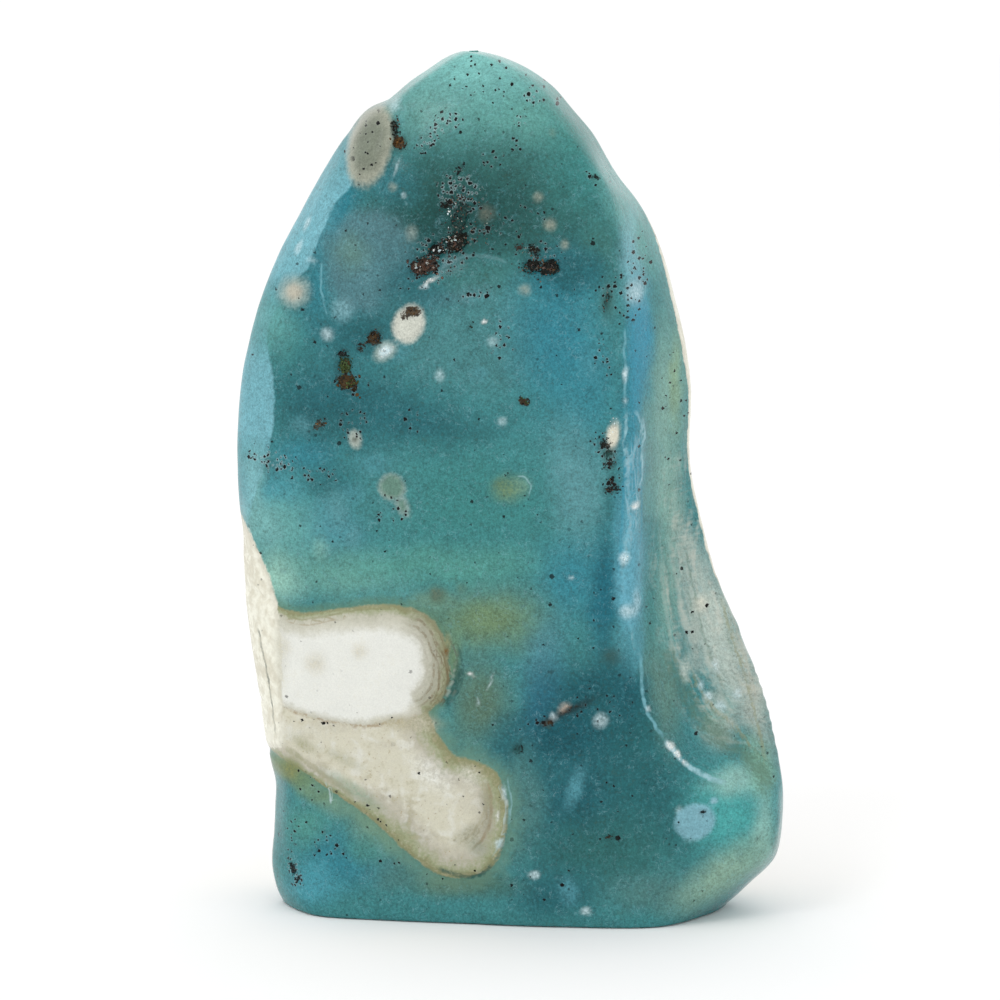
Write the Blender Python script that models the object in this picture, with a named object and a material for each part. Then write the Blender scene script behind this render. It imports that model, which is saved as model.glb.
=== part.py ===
"""A polished freeform of blue hemimorphite on cream matrix, sawn flat underneath so that it stands.

The stone grew as one piece, so it is one solid. Its surface is a stack of level sections. Each
section runs from the left edge of the outline, over the polished front, to the right edge, and
back round behind. The numbers below are millimetres: x runs across the polished face, z is the
height over the sawn base, and a depth is measured from the plane of the outline, forwards for the
front and backwards for the back. The mesh is made in metres, with -Y towards the viewer.
"""

import bmesh
import bpy
import numpy as np

MM = 0.001
FRONT_IS_TOWARDS = -1.0
PLANE_SHIFT = -1.4  # puts the outline's plane where the stone's depth is centred on the origin

# Mesh density. The fine mesh carries the relief, and the collapse keeps what shows of it.
ROW_STEP = 0.50
TRIANGLES_KEPT = 9400
FRONT_COLUMNS = 130
BACK_COLUMNS = 84
SECTION_SAMPLES = 700

# The outline as seen from the front: (height, x of the left edge) and (height, x of the right edge).
TOP = 85.6
LEFT_EDGE = (
    (0.0, -23.4), (0.9, -23.8), (2.0, -24.1), (4.3, -24.5), (7.7, -24.15), (11.6, -23.95),
    (12.5, -23.8), (13.4, -24.2), (15.4, -24.6), (21.6, -25.4), (27.7, -26.3), (33.8, -26.9),
    (36.0, -27.0), (37.6, -26.8), (40.0, -27.3), (46.0, -27.5), (52.0, -27.2), (58.0, -26.0),
    (64.0, -24.0), (70.0, -20.9), (75.9, -17.5), (78.8, -15.3), (80.0, -14.2), (80.4, -13.6),
    (80.6, -12.3), (81.2, -11.6), (82.4, -10.5), (83.5, -8.8), (84.7, -7.0), (85.3, -5.9),
    (TOP, -4.9),
)
RIGHT_EDGE = (
    (0.0, 21.8), (1.4, 23.3), (2.5, 24.2), (3.5, 25.2), (4.5, 26.3), (5.1, 26.8),
    (8.0, 27.2), (11.5, 27.3), (14.3, 27.1), (18.8, 26.3), (22.0, 25.4), (27.7, 23.2),
    (33.8, 20.6), (36.9, 19.8), (39.9, 19.1), (43.0, 18.4), (46.0, 18.1), (52.0, 18.4),
    (55.0, 18.0), (61.0, 16.6), (67.0, 14.8), (70.0, 13.3), (71.5, 12.2), (72.9, 10.9),
    (74.4, 9.9), (77.3, 8.3), (80.3, 5.8), (81.8, 4.6), (82.9, 3.2), (84.1, 1.3),
    (85.0, -0.6), (85.4, -2.0), (TOP, -3.1),
)

# Ground creases between the polished face and the bevels beside it: (height, x).
LEFT_CREASE = (
    (0.0, -19.8), (2.5, -21.2), (7.6, -21.9), (14.6, -22.0), (18.6, -22.5), (26.6, -22.7),
    (32.0, -23.3), (34.0, -23.8), (36.5, -24.8), (38.5, -26.0), (42.4, -25.0), (48.3, -23.5),
    (52.2, -23.4), (55.6, -23.6), (57.5, -22.9), (60.0, -21.4), (62.9, -19.8), (66.3, -18.7),
    (68.2, -18.3), (71.1, -17.0), (73.0, -15.8), (75.4, -14.4), (78.3, -12.7), (81.1, -11.1),
    (84.0, -7.2), (TOP, -4.8),
)
RIGHT_CREASE = (
    (0.0, 21.2), (4.0, 25.4), (8.0, 26.5), (13.4, 26.4), (13.7, 24.4), (14.3, 21.6),
    (15.4, 18.8), (17.3, 16.2), (20.4, 14.4), (24.0, 13.1), (28.6, 12.1), (33.0, 11.7),
    (38.0, 11.8), (42.5, 12.0), (47.0, 11.9), (52.2, 11.4), (58.0, 10.9), (63.8, 10.6),
    (68.7, 10.2), (72.0, 9.4), (74.9, 7.6), (77.3, 5.7), (80.2, 3.3), (83.0, 0.2),
    (TOP, -3.2),
)
CREASE_ROUNDING = ((0.0, 1.6), (14.0, 1.8), (30.0, 1.5), (46.0, 1.8), (62.0, 3.5), (TOP, 4.0))
CREASE_RIDGE = ((0.0, 0.0), (13.0, 0.0), (16.0, 0.35), (40.0, 0.35), (60.0, 0.0))
RIDGE_HALF_WIDTH = 0.7
BEVEL_RUN_ON = 8.0  # how far in front of the face a bevel doubles its height over the lip

# The rim, where front and back meet, and how the edges are rounded beside it.
LEFT_RIM = ((0.0, 0.5), (30.0, 1.0), (60.0, 0.5), (TOP, -0.5))
RIGHT_RIM = (
    (0.0, 1.5), (6.0, 3.6), (13.0, 5.0), (21.0, 3.4), (34.0, -0.5), (50.0, -1.5), (70.0, -1.0),
    (TOP, -0.5),
)
EDGE_LIP = 1.6
EDGE_ROUNDING = 1.6
BACK_EDGE_ROUNDING = 4.5
FOOT_ROUNDING = 0.5

# The polished face: a low pillow, fullest at the lower right, falling back to the rounded top.
FACE_DEPTH = 10.8
FACE_MIDDLE_X = 8.0
FACE_SIDE_FALL = 0.0047
SHOULDER_HEIGHT = 58.0
CROWN_HEIGHT = 29.5
CREST_DEPTH = 1.5  # what is left of each face's depth at the top of its crown
BELLY = (11.0, 6.0, 12.0, 16.0, 1.2)  # x, height, half width, half height, rise
SCOOP = ((0.0, 0.0), (14.0, 0.4), (21.0, 1.5), (31.0, 2.0), (45.0, 1.2), (62.0, 0.4), (TOP, 0.0))
CORNER_BEVEL = (17.0, 1.0, 36.0, 1.9)  # x and height of a point on its edge, turn, fall per mm
CORNER_ROUNDING = 2.6

# The back: fuller, rougher, and leaning in towards the top.
BACK_DEPTH = 13.6
BACK_MIDDLE_X = -1.0
BACK_SIDE_FALL = 0.0110
BACK_SHOULDER_HEIGHT = 34.0
BACK_CROWN_HEIGHT = 53.0
BACK_BEVEL_SLOPE = 1.25
BACK_BLEND = 5.0
NOTCH_REACH = 5.0  # the outline's notches don't reach round to the back's bevels

# Low swellings of the front, where botryoids were cut: x, height, half width, half height, turn
# in degrees, rise, and the width of the ledge round it as a share of its size.
SWELLINGS = (
    (-1.8, 60.0, 7.6, 7.4, 0.0, 0.45, 0.60),  # the broad one under the dark grains
    (-13.2, 64.8, 5.6, 6.2, 8.0, 0.50, 0.50),  # the grey-blue one at the upper left
    (-13.7, 76.6, 2.5, 4.4, -14.0, 0.55, 0.55),  # the grey nodule on the upper left edge
    (-21.2, 62.4, 1.9, 2.0, 0.0, 0.35, 0.60),  # the pale nodule on the left edge
    (-9.9, 59.9, 2.0, 2.4, 0.0, 0.40, 0.50),  # the cream nodule with the brown eye
    (18.2, 11.2, 2.1, 1.7, 0.0, 0.30, 0.50),  # the pale blue nodule at the lower right
    (8.0, 31.0, 5.0, 13.0, 4.0, 0.35, 0.90),  # the fullness beside the long crease
)

# Hollows of the front: x, height, half width, half height, turn in degrees, depth.
HOLLOWS = (
    (-8.2, 65.4, 1.9, 1.3, 20.0, 0.90),
    (-5.6, 67.0, 2.2, 1.6, 10.0, 0.85),
    (-5.0, 69.6, 1.3, 2.4, -15.0, 0.50),
    (2.8, 65.1, 2.1, 1.2, -8.0, 0.85),
    (2.4, 66.7, 1.0, 0.7, -20.0, 0.45),
    (-10.7, 77.3, 0.9, 1.7, 8.0, 0.75),
    (-9.5, 60.9, 0.9, 0.6, 15.0, 0.45),
    (-16.2, 54.8, 1.4, 2.2, -20.0, 0.75),
    (-13.2, 58.3, 1.0, 0.8, 30.0, 0.50),
    (-14.7, 57.5, 0.8, 0.7, 0.0, 0.40),
    (-18.8, 49.9, 1.0, 0.7, 35.0, 0.35),
    (1.3, 52.4, 0.9, 0.7, -30.0, 0.35),
    (9.2, 47.5, 1.0, 1.4, 25.0, 0.50),
    (9.8, 44.2, 0.8, 0.9, 0.0, 0.40),
    (9.2, 61.9, 0.6, 1.6, -12.0, 0.35),
    (2.8, 20.8, 0.9, 0.6, 30.0, 0.45),
    (18.7, 11.8, 0.6, 0.5, 0.0, 0.40),
    (-22.2, 4.8, 0.8, 1.5, 20.0, 0.35),
    (6.0, 21.6, 3.2, 0.6, 20.0, 0.25),
)

# The white bodies in the face stand a little proud, with a groove where they meet the blue.
# Their joint outline is (height, x) points, from beyond the left edge over the upper lobe to the
# lower one and back.
BODY_OUTLINE = (
    (32.3, -30.0), (31.1, -23.2), (30.7, -20.8), (31.3, -16.8), (31.9, -12.9), (31.7, -10.0),
    (30.5, -7.8), (28.3, -6.5), (26.3, -6.2), (24.1, -6.4), (22.3, -7.1), (21.3, -8.0),
    (18.8, -7.1), (17.1, -5.6), (16.6, -3.3), (15.3, -1.5), (13.3, -0.6), (11.0, -0.3),
    (7.7, -0.9), (5.7, -2.1), (4.7, -4.3), (4.9, -7.1), (6.2, -9.8), (8.4, -11.8),
    (11.4, -14.4), (14.0, -18.1), (16.0, -21.1), (17.1, -23.8), (17.8, -30.0),
)
BODY_RISE = 0.30
BODY_LEDGE = 0.7
BODY_GROOVE_WIDTH = 0.55
BODY_GROOVE_DEPTH = 0.28

# Other lines in the face: points (height, x), half width, rise.
SEAMS = (
    (((21.1, -23.3), (20.1, -18.9), (19.7, -14.9), (20.4, -11.0), (21.3, -8.2)), 0.6, -0.18),
    (((66.6, -17.9), (64.0, -18.2), (61.4, -17.9), (59.0, -17.0)), 0.40, 0.22),
)

# Lumps and hollows of the back, in the same terms as SWELLINGS and HOLLOWS.
BACK_SWELLINGS = (
    (11.0, 18.0, 11.0, 12.0, 20.0, 1.9, 0.95),
    (-9.0, 24.0, 12.0, 10.0, -15.0, 1.7, 0.95),
    (3.0, 38.0, 10.0, 9.0, 0.0, 1.4, 0.95),
    (-14.0, 45.0, 9.0, 10.5, 10.0, 1.1, 0.95),
    (8.0, 55.0, 8.0, 9.5, -20.0, 1.2, 0.95),
    (-7.0, 61.0, 9.5, 9.0, 15.0, 0.9, 0.95),
    (-3.0, 8.0, 8.0, 6.0, 0.0, 0.8, 0.95),
)
BACK_HOLLOWS = (
    (-2.0, 48.0, 6.6, 3.8, 25.0, 1.7),
    (15.0, 33.0, 3.8, 6.6, 10.0, 1.2),
    (-2.0, 14.0, 3.0, 5.4, -10.0, 1.2),
    (-17.0, 34.0, 3.6, 2.8, 0.0, 0.9),
    (1.5, 68.0, 4.6, 2.6, -20.0, 0.9),
    (13.0, 7.0, 2.4, 1.8, 0.0, 0.5),
)
RAGGEDNESS = 0.12
CALM_EDGE = 7.0  # the back's lumps fade out this near to the outline
CALM_FOOT = 6.0

STONE_COLOUR = (0.10, 0.33, 0.35, 1.0)
STONE_ROUGHNESS = 0.22


def smooth_curve(knots, at):
    """The value of a smooth curve through (place, value) knots, without overshoot between them."""
    places, values = np.array(knots, float).T
    steps = np.diff(places)
    slopes = np.diff(values) / steps
    tangents = np.empty_like(values)
    tangents[0], tangents[-1] = slopes[0], slopes[-1]
    before, after = slopes[:-1], slopes[1:]
    same_way = before * after > 0
    mean = 2 * before * after / np.where(same_way, before + after, 1)
    tangents[1:-1] = np.where(same_way, mean, 0)
    at = np.clip(at, places[0], places[-1])
    left = np.clip(np.searchsorted(places, at, side="right") - 1, 0, len(steps) - 1)
    width = steps[left]
    t = (at - places[left]) / width
    return (
        (1 + 2 * t) * (1 - t) ** 2 * values[left]
        + t * (1 - t) ** 2 * width * tangents[left]
        + t * t * (3 - 2 * t) * values[left + 1]
        - t * t * (1 - t) * width * tangents[left + 1]
    )


def smooth_min(a, b, blend):
    """The lower of two surfaces, rounded over the blend where they cross."""
    near = np.clip(blend - np.abs(a - b), 0, None)
    return np.minimum(a, b) - near * near / (4 * blend)


def smooth_step(t):
    t = np.clip(t, 0, 1)
    return t * t * (3 - 2 * t)


def reach(x, z, middle_x, middle_z, half_width, half_height, turn=0.0, ragged=0.0):
    """How far a point is from an ellipse's middle, as a share of the ellipse's size.

    A ragged ellipse has lobes, which differ with the place of its middle.
    """
    angle = np.radians(turn)
    across, up = x - middle_x, z - middle_z
    along = (across * np.cos(angle) + up * np.sin(angle)) / half_width
    beside = (up * np.cos(angle) - across * np.sin(angle)) / half_height
    way_round = np.arctan2(beside, along)
    lobes = np.sin(2 * way_round + middle_x) + 0.7 * np.sin(3 * way_round + middle_z)
    return np.hypot(along, beside) * (1 + ragged * lobes)


def distance_to_line(x, z, points):
    """The distance from each point to a line of straight runs through (height, x) points."""
    nearest = np.full(np.shape(x), np.inf)
    for (z0, x0), (z1, x1) in zip(points[:-1], points[1:]):
        run_x, run_z = x1 - x0, z1 - z0
        share = ((x - x0) * run_x + (z - z0) * run_z) / (run_x**2 + run_z**2)
        share = np.clip(share, 0, 1)
        away = np.hypot(x - x0 - share * run_x, z - z0 - share * run_z)
        nearest = np.minimum(nearest, away)
    return nearest


def depth_inside(x, z, outline):
    """How far inside a closed outline of (height, x) points each point is: below 0 outside it."""
    closed = outline + outline[:1]
    inside = np.zeros(np.shape(x), bool)
    for (z0, x0), (z1, x1) in zip(closed[:-1], closed[1:]):
        if (z0 > z) != (z1 > z):
            inside ^= x < x0 + (z - z0) * (x1 - x0) / (z1 - z0)
    return np.where(inside, 1, -1) * distance_to_line(x, z, closed)


def beside_crease(x, z, crease):
    """The distance from a crease, measured square to it: above 0 on its right, below on its left."""
    step = 0.25
    slope = (smooth_curve(crease, z + step) - smooth_curve(crease, z - step)) / (2 * step)
    return (x - smooth_curve(crease, z)) / np.hypot(1, slope)


def broad_curve(knots, z):
    """A curve with its small notches levelled out."""
    offsets = np.linspace(-NOTCH_REACH, NOTCH_REACH, 25)
    return np.mean([smooth_curve(knots, z + offset) for offset in offsets], axis=0)


def swelling_rise(x, z, swellings):
    total = np.zeros(np.shape(x))
    for middle_x, middle_z, half_width, half_height, turn, rise, ledge in swellings:
        share = reach(x, z, middle_x, middle_z, half_width, half_height, turn)
        total += rise * smooth_step((1 - share) / ledge)
    return total


def hollow_depth(x, z, hollows):
    total = np.zeros(np.shape(x))
    for middle_x, middle_z, half_width, half_height, turn, depth in hollows:
        share = reach(x, z, middle_x, middle_z, half_width, half_height, turn, RAGGEDNESS)
        total += depth * np.exp(-(share**3))
    return total


def seam_rise(x, z):
    """The white bodies' relief, and that of the single lines."""
    inward = depth_inside(x, z, BODY_OUTLINE)
    groove = np.exp(-((2 * inward / BODY_GROOVE_WIDTH + 1) ** 2))
    total = BODY_RISE * smooth_step(0.5 + inward / BODY_LEDGE) - BODY_GROOVE_DEPTH * groove
    for points, half_width, rise in SEAMS:
        total += rise * np.exp(-((distance_to_line(x, z, points) / half_width) ** 2))
    return total


def polish_waves(x, z):
    """The slight unevenness that hand polishing leaves."""
    return 0.10 * np.sin(0.31 * x + 0.17 * z + 0.6) * np.sin(0.23 * z - 0.12 * x) + 0.05 * np.sin(
        0.62 * x - 0.35 * z + 1.0
    )


def crown_fall(z, depth, shoulder, crown):
    """How far a face has fallen back at height z, on its elliptical way over to the top."""
    share = np.clip((z - shoulder) / crown, 0, 0.999)
    return depth * (1 - np.sqrt(1 - share * share))


def foot_inset(z):
    """The small rounding where the sides meet the sawn base."""
    share = np.clip(1 - z / FOOT_ROUNDING, 0, 1)
    return FOOT_ROUNDING * (1 - np.sqrt(1 - share * share))


def edge_swell(x, left, right, rounding):
    """From 0 at the outline to 1 inside the rounded edge."""
    inset = np.clip(np.minimum(x - left, right - x) / rounding, 0, 1)
    return np.sqrt(1 - (1 - inset) ** 2)


def face_depth(x, z):
    """The polished face alone, before the bevels cut into it."""
    belly = BELLY[4] * np.exp(-(reach(x, z, *BELLY[:4]) ** 2))
    side = FACE_SIDE_FALL * (x - FACE_MIDDLE_X) ** 2
    crown = crown_fall(z, FACE_DEPTH - CREST_DEPTH, SHOULDER_HEIGHT, CROWN_HEIGHT)
    return FACE_DEPTH + belly - side - crown


def bevel_share(inset, past_crease):
    """1 along the crease, falling to 0 at the outline, and above 1 on the face's side of it."""
    inset = np.clip(inset, 0, None)
    beyond = inset / np.maximum(inset + past_crease, 1e-6)
    return np.where(past_crease > 0, beyond, 1 - past_crease / BEVEL_RUN_ON)


def corner_bevel(x, z):
    """The slanted cut over the lower right corner."""
    edge_x, edge_z, turn, fall = CORNER_BEVEL
    angle = np.radians(turn)
    past = (x - edge_x) * np.sin(angle) - (z - edge_z) * np.cos(angle)
    return face_depth(x, z) - fall * past


def front_depth(x, z, left, right):
    """The depth of the front in front of the outline's plane."""
    left_rim, right_rim = smooth_curve(LEFT_RIM, z), smooth_curve(RIGHT_RIM, z)
    face = face_depth(x, z)
    past_left = -beside_crease(x, z, LEFT_CREASE)
    past_right = beside_crease(x, z, RIGHT_CREASE)
    left_share = bevel_share(x - left, past_left)
    right_share = bevel_share(right - x, past_right)
    left_lip, right_lip = left_rim + EDGE_LIP, right_rim + EDGE_LIP
    left_bevel = left_lip + (face - left_lip) * left_share
    right_bevel = right_lip + (face - right_lip) * right_share
    inside = np.clip(right_share, 0, 1)
    right_bevel = right_bevel - smooth_curve(SCOOP, z) * 4 * inside * (1 - inside)
    rounding = smooth_curve(CREASE_ROUNDING, z)
    ground = smooth_min(face, left_bevel, rounding)
    ground = smooth_min(ground, right_bevel, rounding)
    ground = smooth_min(ground, corner_bevel(x, z), CORNER_ROUNDING)
    ridge = smooth_curve(CREASE_RIDGE, z) * np.exp(-((past_right / RIDGE_HALF_WIDTH) ** 2))
    relief = (
        swelling_rise(x, z, SWELLINGS)
        - hollow_depth(x, z, HOLLOWS)
        + seam_rise(x, z)
        + polish_waves(x, z)
        + ridge
    )
    rim = left_rim + (right_rim - left_rim) * np.clip((x - left) / (right - left), 0, 1)
    swell = edge_swell(x, left, right, EDGE_ROUNDING)
    return rim + (ground + relief - rim) * swell - foot_inset(z)


def back_depth(x, z, left, right):
    """The depth of the back behind the outline's plane."""
    left_rim, right_rim = -smooth_curve(LEFT_RIM, z), -smooth_curve(RIGHT_RIM, z)
    side = BACK_SIDE_FALL * (x - BACK_MIDDLE_X) ** 2
    crown = crown_fall(z, BACK_DEPTH - CREST_DEPTH, BACK_SHOULDER_HEIGHT, BACK_CROWN_HEIGHT)
    bulk = BACK_DEPTH - side - crown
    left_bevel = left_rim + EDGE_LIP + BACK_BEVEL_SLOPE * (x - broad_curve(LEFT_EDGE, z))
    right_bevel = right_rim + EDGE_LIP + BACK_BEVEL_SLOPE * (broad_curve(RIGHT_EDGE, z) - x)
    bulk = smooth_min(smooth_min(bulk, left_bevel, BACK_BLEND), right_bevel, BACK_BLEND)
    relief = swelling_rise(x, z, BACK_SWELLINGS) - hollow_depth(x, z, BACK_HOLLOWS)
    inside = smooth_step(np.minimum(x - left, right - x) / CALM_EDGE)
    standing = smooth_step(z / CALM_FOOT)
    rim = left_rim + (right_rim - left_rim) * np.clip((x - left) / (right - left), 0, 1)
    shape = bulk + relief * inside * standing
    swell = edge_swell(x, left, right, BACK_EDGE_ROUNDING)
    return rim + (shape - rim) * swell - foot_inset(z)


def row_heights():
    """Heights of the sections, close together where the outline runs nearly level."""
    fine = np.linspace(0, TOP, 6000)
    left, right = smooth_curve(LEFT_EDGE, fine), smooth_curve(RIGHT_EDGE, fine)
    slope = np.maximum(np.abs(np.gradient(left, fine)), np.abs(np.gradient(right, fine)))
    way = np.concatenate([[0], np.cumsum(np.hypot(1, np.clip(slope, 0, 4))[1:] * np.diff(fine))])
    rows = int(way[-1] / ROW_STEP)
    return np.interp(np.linspace(0, way[-1], rows + 1), way, fine)


def even_points(x, depth, columns):
    """Points along a section's line, evenly spaced along it, without its last point."""
    way = np.concatenate([[0], np.cumsum(np.hypot(np.diff(x), np.diff(depth)))])
    at = np.linspace(0, way[-1], columns + 1)[:-1]
    return np.interp(at, way, x), np.interp(at, way, depth)


def section(z):
    """One level section: x and y of its points, from the left edge over the front and back round."""
    left = smooth_curve(LEFT_EDGE, z) + foot_inset(z)
    right = smooth_curve(RIGHT_EDGE, z) - foot_inset(z)
    turn = np.linspace(0, np.pi, SECTION_SAMPLES)
    x = left + (right - left) * (1 - np.cos(turn)) / 2
    front = FRONT_IS_TOWARDS * front_depth(x, z, left, right)
    back = -FRONT_IS_TOWARDS * back_depth(x, z, left, right)
    front_x, front_y = even_points(x, front, FRONT_COLUMNS)
    back_x, back_y = even_points(x[::-1], back[::-1], BACK_COLUMNS)
    return np.concatenate([front_x, back_x]), np.concatenate([front_y, back_y])


def stone_mesh():
    """The closed surface: sections joined by quads, the sawn base, and a cap at the top."""
    around = FRONT_COLUMNS + BACK_COLUMNS
    heights = row_heights()
    mesh_bm = bmesh.new()
    rings = []
    for z in heights:
        x, y = section(z)
        ring = [
            mesh_bm.verts.new((px * MM, (py + PLANE_SHIFT) * MM, z * MM)) for px, py in zip(x, y)
        ]
        rings.append(ring)
    for lower, upper in zip(rings[:-1], rings[1:]):
        for i in range(around):
            j = (i + 1) % around
            mesh_bm.faces.new((lower[i], lower[j], upper[j], upper[i]))
    mesh_bm.faces.new(rings[0][::-1])
    mesh_bm.faces.new(rings[-1])
    bmesh.ops.recalc_face_normals(mesh_bm, faces=mesh_bm.faces)
    mesh = bpy.data.meshes.new("stone")
    mesh_bm.to_mesh(mesh)
    mesh_bm.free()
    return mesh


def stone_material():
    material = bpy.data.materials.new("polished_hemimorphite")
    material.use_nodes = True
    shader = material.node_tree.nodes["Principled BSDF"]
    shader.inputs["Base Color"].default_value = STONE_COLOUR
    shader.inputs["Roughness"].default_value = STONE_ROUGHNESS
    shader.inputs["Metallic"].default_value = 0.0
    return material


def thin_out(stone):
    """Collapses the fine mesh to the triangles that its shape needs."""
    stone.data.calc_loop_triangles()
    collapse = stone.modifiers.new("collapse", "DECIMATE")
    collapse.decimate_type = "COLLAPSE"
    collapse.use_collapse_triangulate = True
    collapse.ratio = TRIANGLES_KEPT / len(stone.data.loop_triangles)


def main():
    for old in list(bpy.data.objects):
        bpy.data.objects.remove(old)
    stone = bpy.data.objects.new("stone", stone_mesh())
    bpy.context.scene.collection.objects.link(stone)
    stone.data.materials.append(stone_material())
    stone.data.shade_smooth()
    thin_out(stone)


main()
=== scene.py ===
"""The looks of a polished freeform of blue hemimorphite, drawn over its solid.

The stone's skin is one fine mesh that follows the solid and adds the low relief of its nodules,
pits, ledges and creases. Tones, lines, spots and depths are worked out for each point of the skin,
in millimetres, and the stone's finish turns them into gel, chalk, matrix and stains. Crystals that
stand in the pits are joined meshes of their own. X runs to the right across the polished face, Z
is the height over the sawn base, and the face looks towards -Y.
"""

import logging
from dataclasses import dataclass
from enum import Enum
from math import cos, pi, radians, sin, tau

import bpy
import numpy as np
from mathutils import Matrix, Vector, noise
from mathutils.bvhtree import BVHTree

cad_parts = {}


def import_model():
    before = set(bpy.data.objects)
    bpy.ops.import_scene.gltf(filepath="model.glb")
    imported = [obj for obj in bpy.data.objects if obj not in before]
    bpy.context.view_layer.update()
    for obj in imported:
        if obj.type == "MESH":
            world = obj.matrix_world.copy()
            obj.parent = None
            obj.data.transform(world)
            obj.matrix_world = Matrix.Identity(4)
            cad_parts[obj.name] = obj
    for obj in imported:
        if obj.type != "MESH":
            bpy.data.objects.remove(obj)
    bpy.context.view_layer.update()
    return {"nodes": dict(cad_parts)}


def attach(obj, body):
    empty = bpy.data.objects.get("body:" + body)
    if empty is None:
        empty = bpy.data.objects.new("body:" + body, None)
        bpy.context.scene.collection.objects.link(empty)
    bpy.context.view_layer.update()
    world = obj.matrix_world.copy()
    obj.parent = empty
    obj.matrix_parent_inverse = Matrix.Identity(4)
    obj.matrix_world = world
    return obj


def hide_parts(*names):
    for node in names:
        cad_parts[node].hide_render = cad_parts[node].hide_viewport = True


log = logging.getLogger("stone")

MM = 0.001
NODE = "stone"
BODY = "root"
SLOT = "polished_hemimorphite"
NOISE_SEED = 11  # without it the noise starts at another place in each run

GLOSS_VEIL = 0.012  # what the polish mirrors of the white room, in linear light
LIGHT_GAIN = 1.10  # how much brighter than its own colour a matt surface looks here


class Tone(Enum):
    """The stone's colours as they look in plain light."""

    BODY_BLUE = "#468486"
    MINT = "#82C1BB"
    SEAFOAM = "#629C94"
    GREY_GREEN = "#689991"
    POND = "#345E5A"
    INK = "#284C4A"
    DUSK_GREEN = "#427470"
    LEAF_TEAL = "#42827F"
    WISP = "#72AEA9"
    SLATE = "#587E85"
    GREY_SAGE = "#688A7C"
    DARK_SLATE = "#3A676E"
    STREAM = "#3C90A8"
    SEA = "#3A8190"
    SEA_DARK = "#3A747C"
    ICE = "#7EB8C4"
    PALE_ICE = "#A0CBD4"
    LAGOON = "#4C8284"
    CLOUD_BLUE = "#56939E"
    SHALLOW = "#64A09D"
    EDGE_GREEN = "#7DB0AE"
    DEEP = "#30656C"
    HAZE = "#609499"
    TEAL_GREEN = "#488680"
    SOFT_GREEN = "#56948A"
    PETROL = "#2A6978"
    DEEP_PETROL = "#265861"
    BLUE_HAZE = "#508493"
    JADE = "#7AA896"
    MOSS = "#8AAA8E"
    OLIVE = "#6E8969"
    WARM_OLIVE = "#848A5E"
    OLIVE_TAN = "#929370"
    OLIVE_GREY = "#5C7866"
    GREY_TEAL = "#527C79"
    DARK_TEAL = "#2E6367"
    FOG = "#96A89E"
    SILVER = "#A6B1A8"
    AQUA = "#50A2A0"
    PALE_AQUA = "#8AB7AE"
    CYAN = "#509AA8"
    SAGE = "#8AAC9A"
    BEIGE = "#BCB8A8"
    SAND = "#C8C2AC"
    CREAM = "#DEDAC8"
    IVORY = "#F2F1E2"
    CHALK = "#E8E9E2"
    FROST = "#CDE2E6"
    WHITE = "#EEF1EE"
    NODULE_GREY = "#808576"
    NODULE_RIM = "#A6A898"
    PALE_NODULE = "#98AAA4"
    POWDER_BLUE = "#7FAFBB"
    TAN = "#9E8A6C"
    BROWN = "#54422E"
    UMBER = "#2A241C"
    BLACK = "#060808"
    OCHRE = "#70502C"
    RUST = "#543E24"
    MOSS_BROWN = "#3A4222"
    DUST = "#62685E"
    PINKISH = "#AAA094"
    SEA_BAND = "#347D8C"
    SKY = "#6AAABC"
    AZURE = "#5CA0B6"
    BONE = "#D4D1BE"
    PARCHMENT = "#C0BFAE"
    KHAKI = "#A0A685"
    DRAB = "#8C8C76"
    SEAM = "#B2AC90"
    PALE_GREEN = "#7EA89D"
    PEARL = "#B6C4BB"
    SPRING = "#689E94"
    DEW = "#8EBCAE"
    HALO = "#749680"
    PINK_BROWN = "#60463A"
    FERN = "#52643A"
    INDIGO = "#30667C"
    ABYSS = "#265862"
    NODULE_WHITE = "#D0D2C6"
    CANVAS = "#D0CFC1"
    RIBS = "#CCD0C4"
    UMBER_LINE = "#76684E"
    POOL = "#366865"

    @property
    def seen(self) -> np.ndarray:
        """The colour in linear light."""
        parts = np.array([int(self.value[k : k + 2], 16) for k in (1, 3, 5)]) / 255
        return np.where(parts <= 0.04045, parts / 12.92, ((parts + 0.055) / 1.055) ** 2.4)

    @property
    def pigment(self) -> np.ndarray:
        """The base colour that looks like this tone under the polish."""
        return np.clip((self.seen - GLOSS_VEIL) / LIGHT_GAIN, 0.001, 0.93)


def rgba(tone: Tone) -> tuple[float, float, float, float]:
    """A tone's pigment as a socket's colour."""
    return (*(float(part) for part in tone.pigment), 1.0)


def smooth_step(at: np.ndarray) -> np.ndarray:
    """0 below 0, 1 above 1 and a smooth rise between."""
    at = np.clip(at, 0, 1)
    return at * at * (3 - 2 * at)


def bell(at: np.ndarray, width: float, middle: float = 0.0) -> np.ndarray:
    """1 in the middle, falling off evenly on both sides."""
    return np.exp(-(((at - middle) / width) ** 2))


def both_ends(passed: np.ndarray, share: float) -> np.ndarray:
    """1 along a line, fading to 0 over a share of it at each end."""
    return smooth_step(np.minimum(passed, 1 - passed) / share)


def by_height(knots: tuple, at: np.ndarray) -> np.ndarray:
    """The value at each height of a line through (height, value) knots."""
    places, values = np.array(knots, float).T
    return np.interp(at, places, values)


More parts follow.
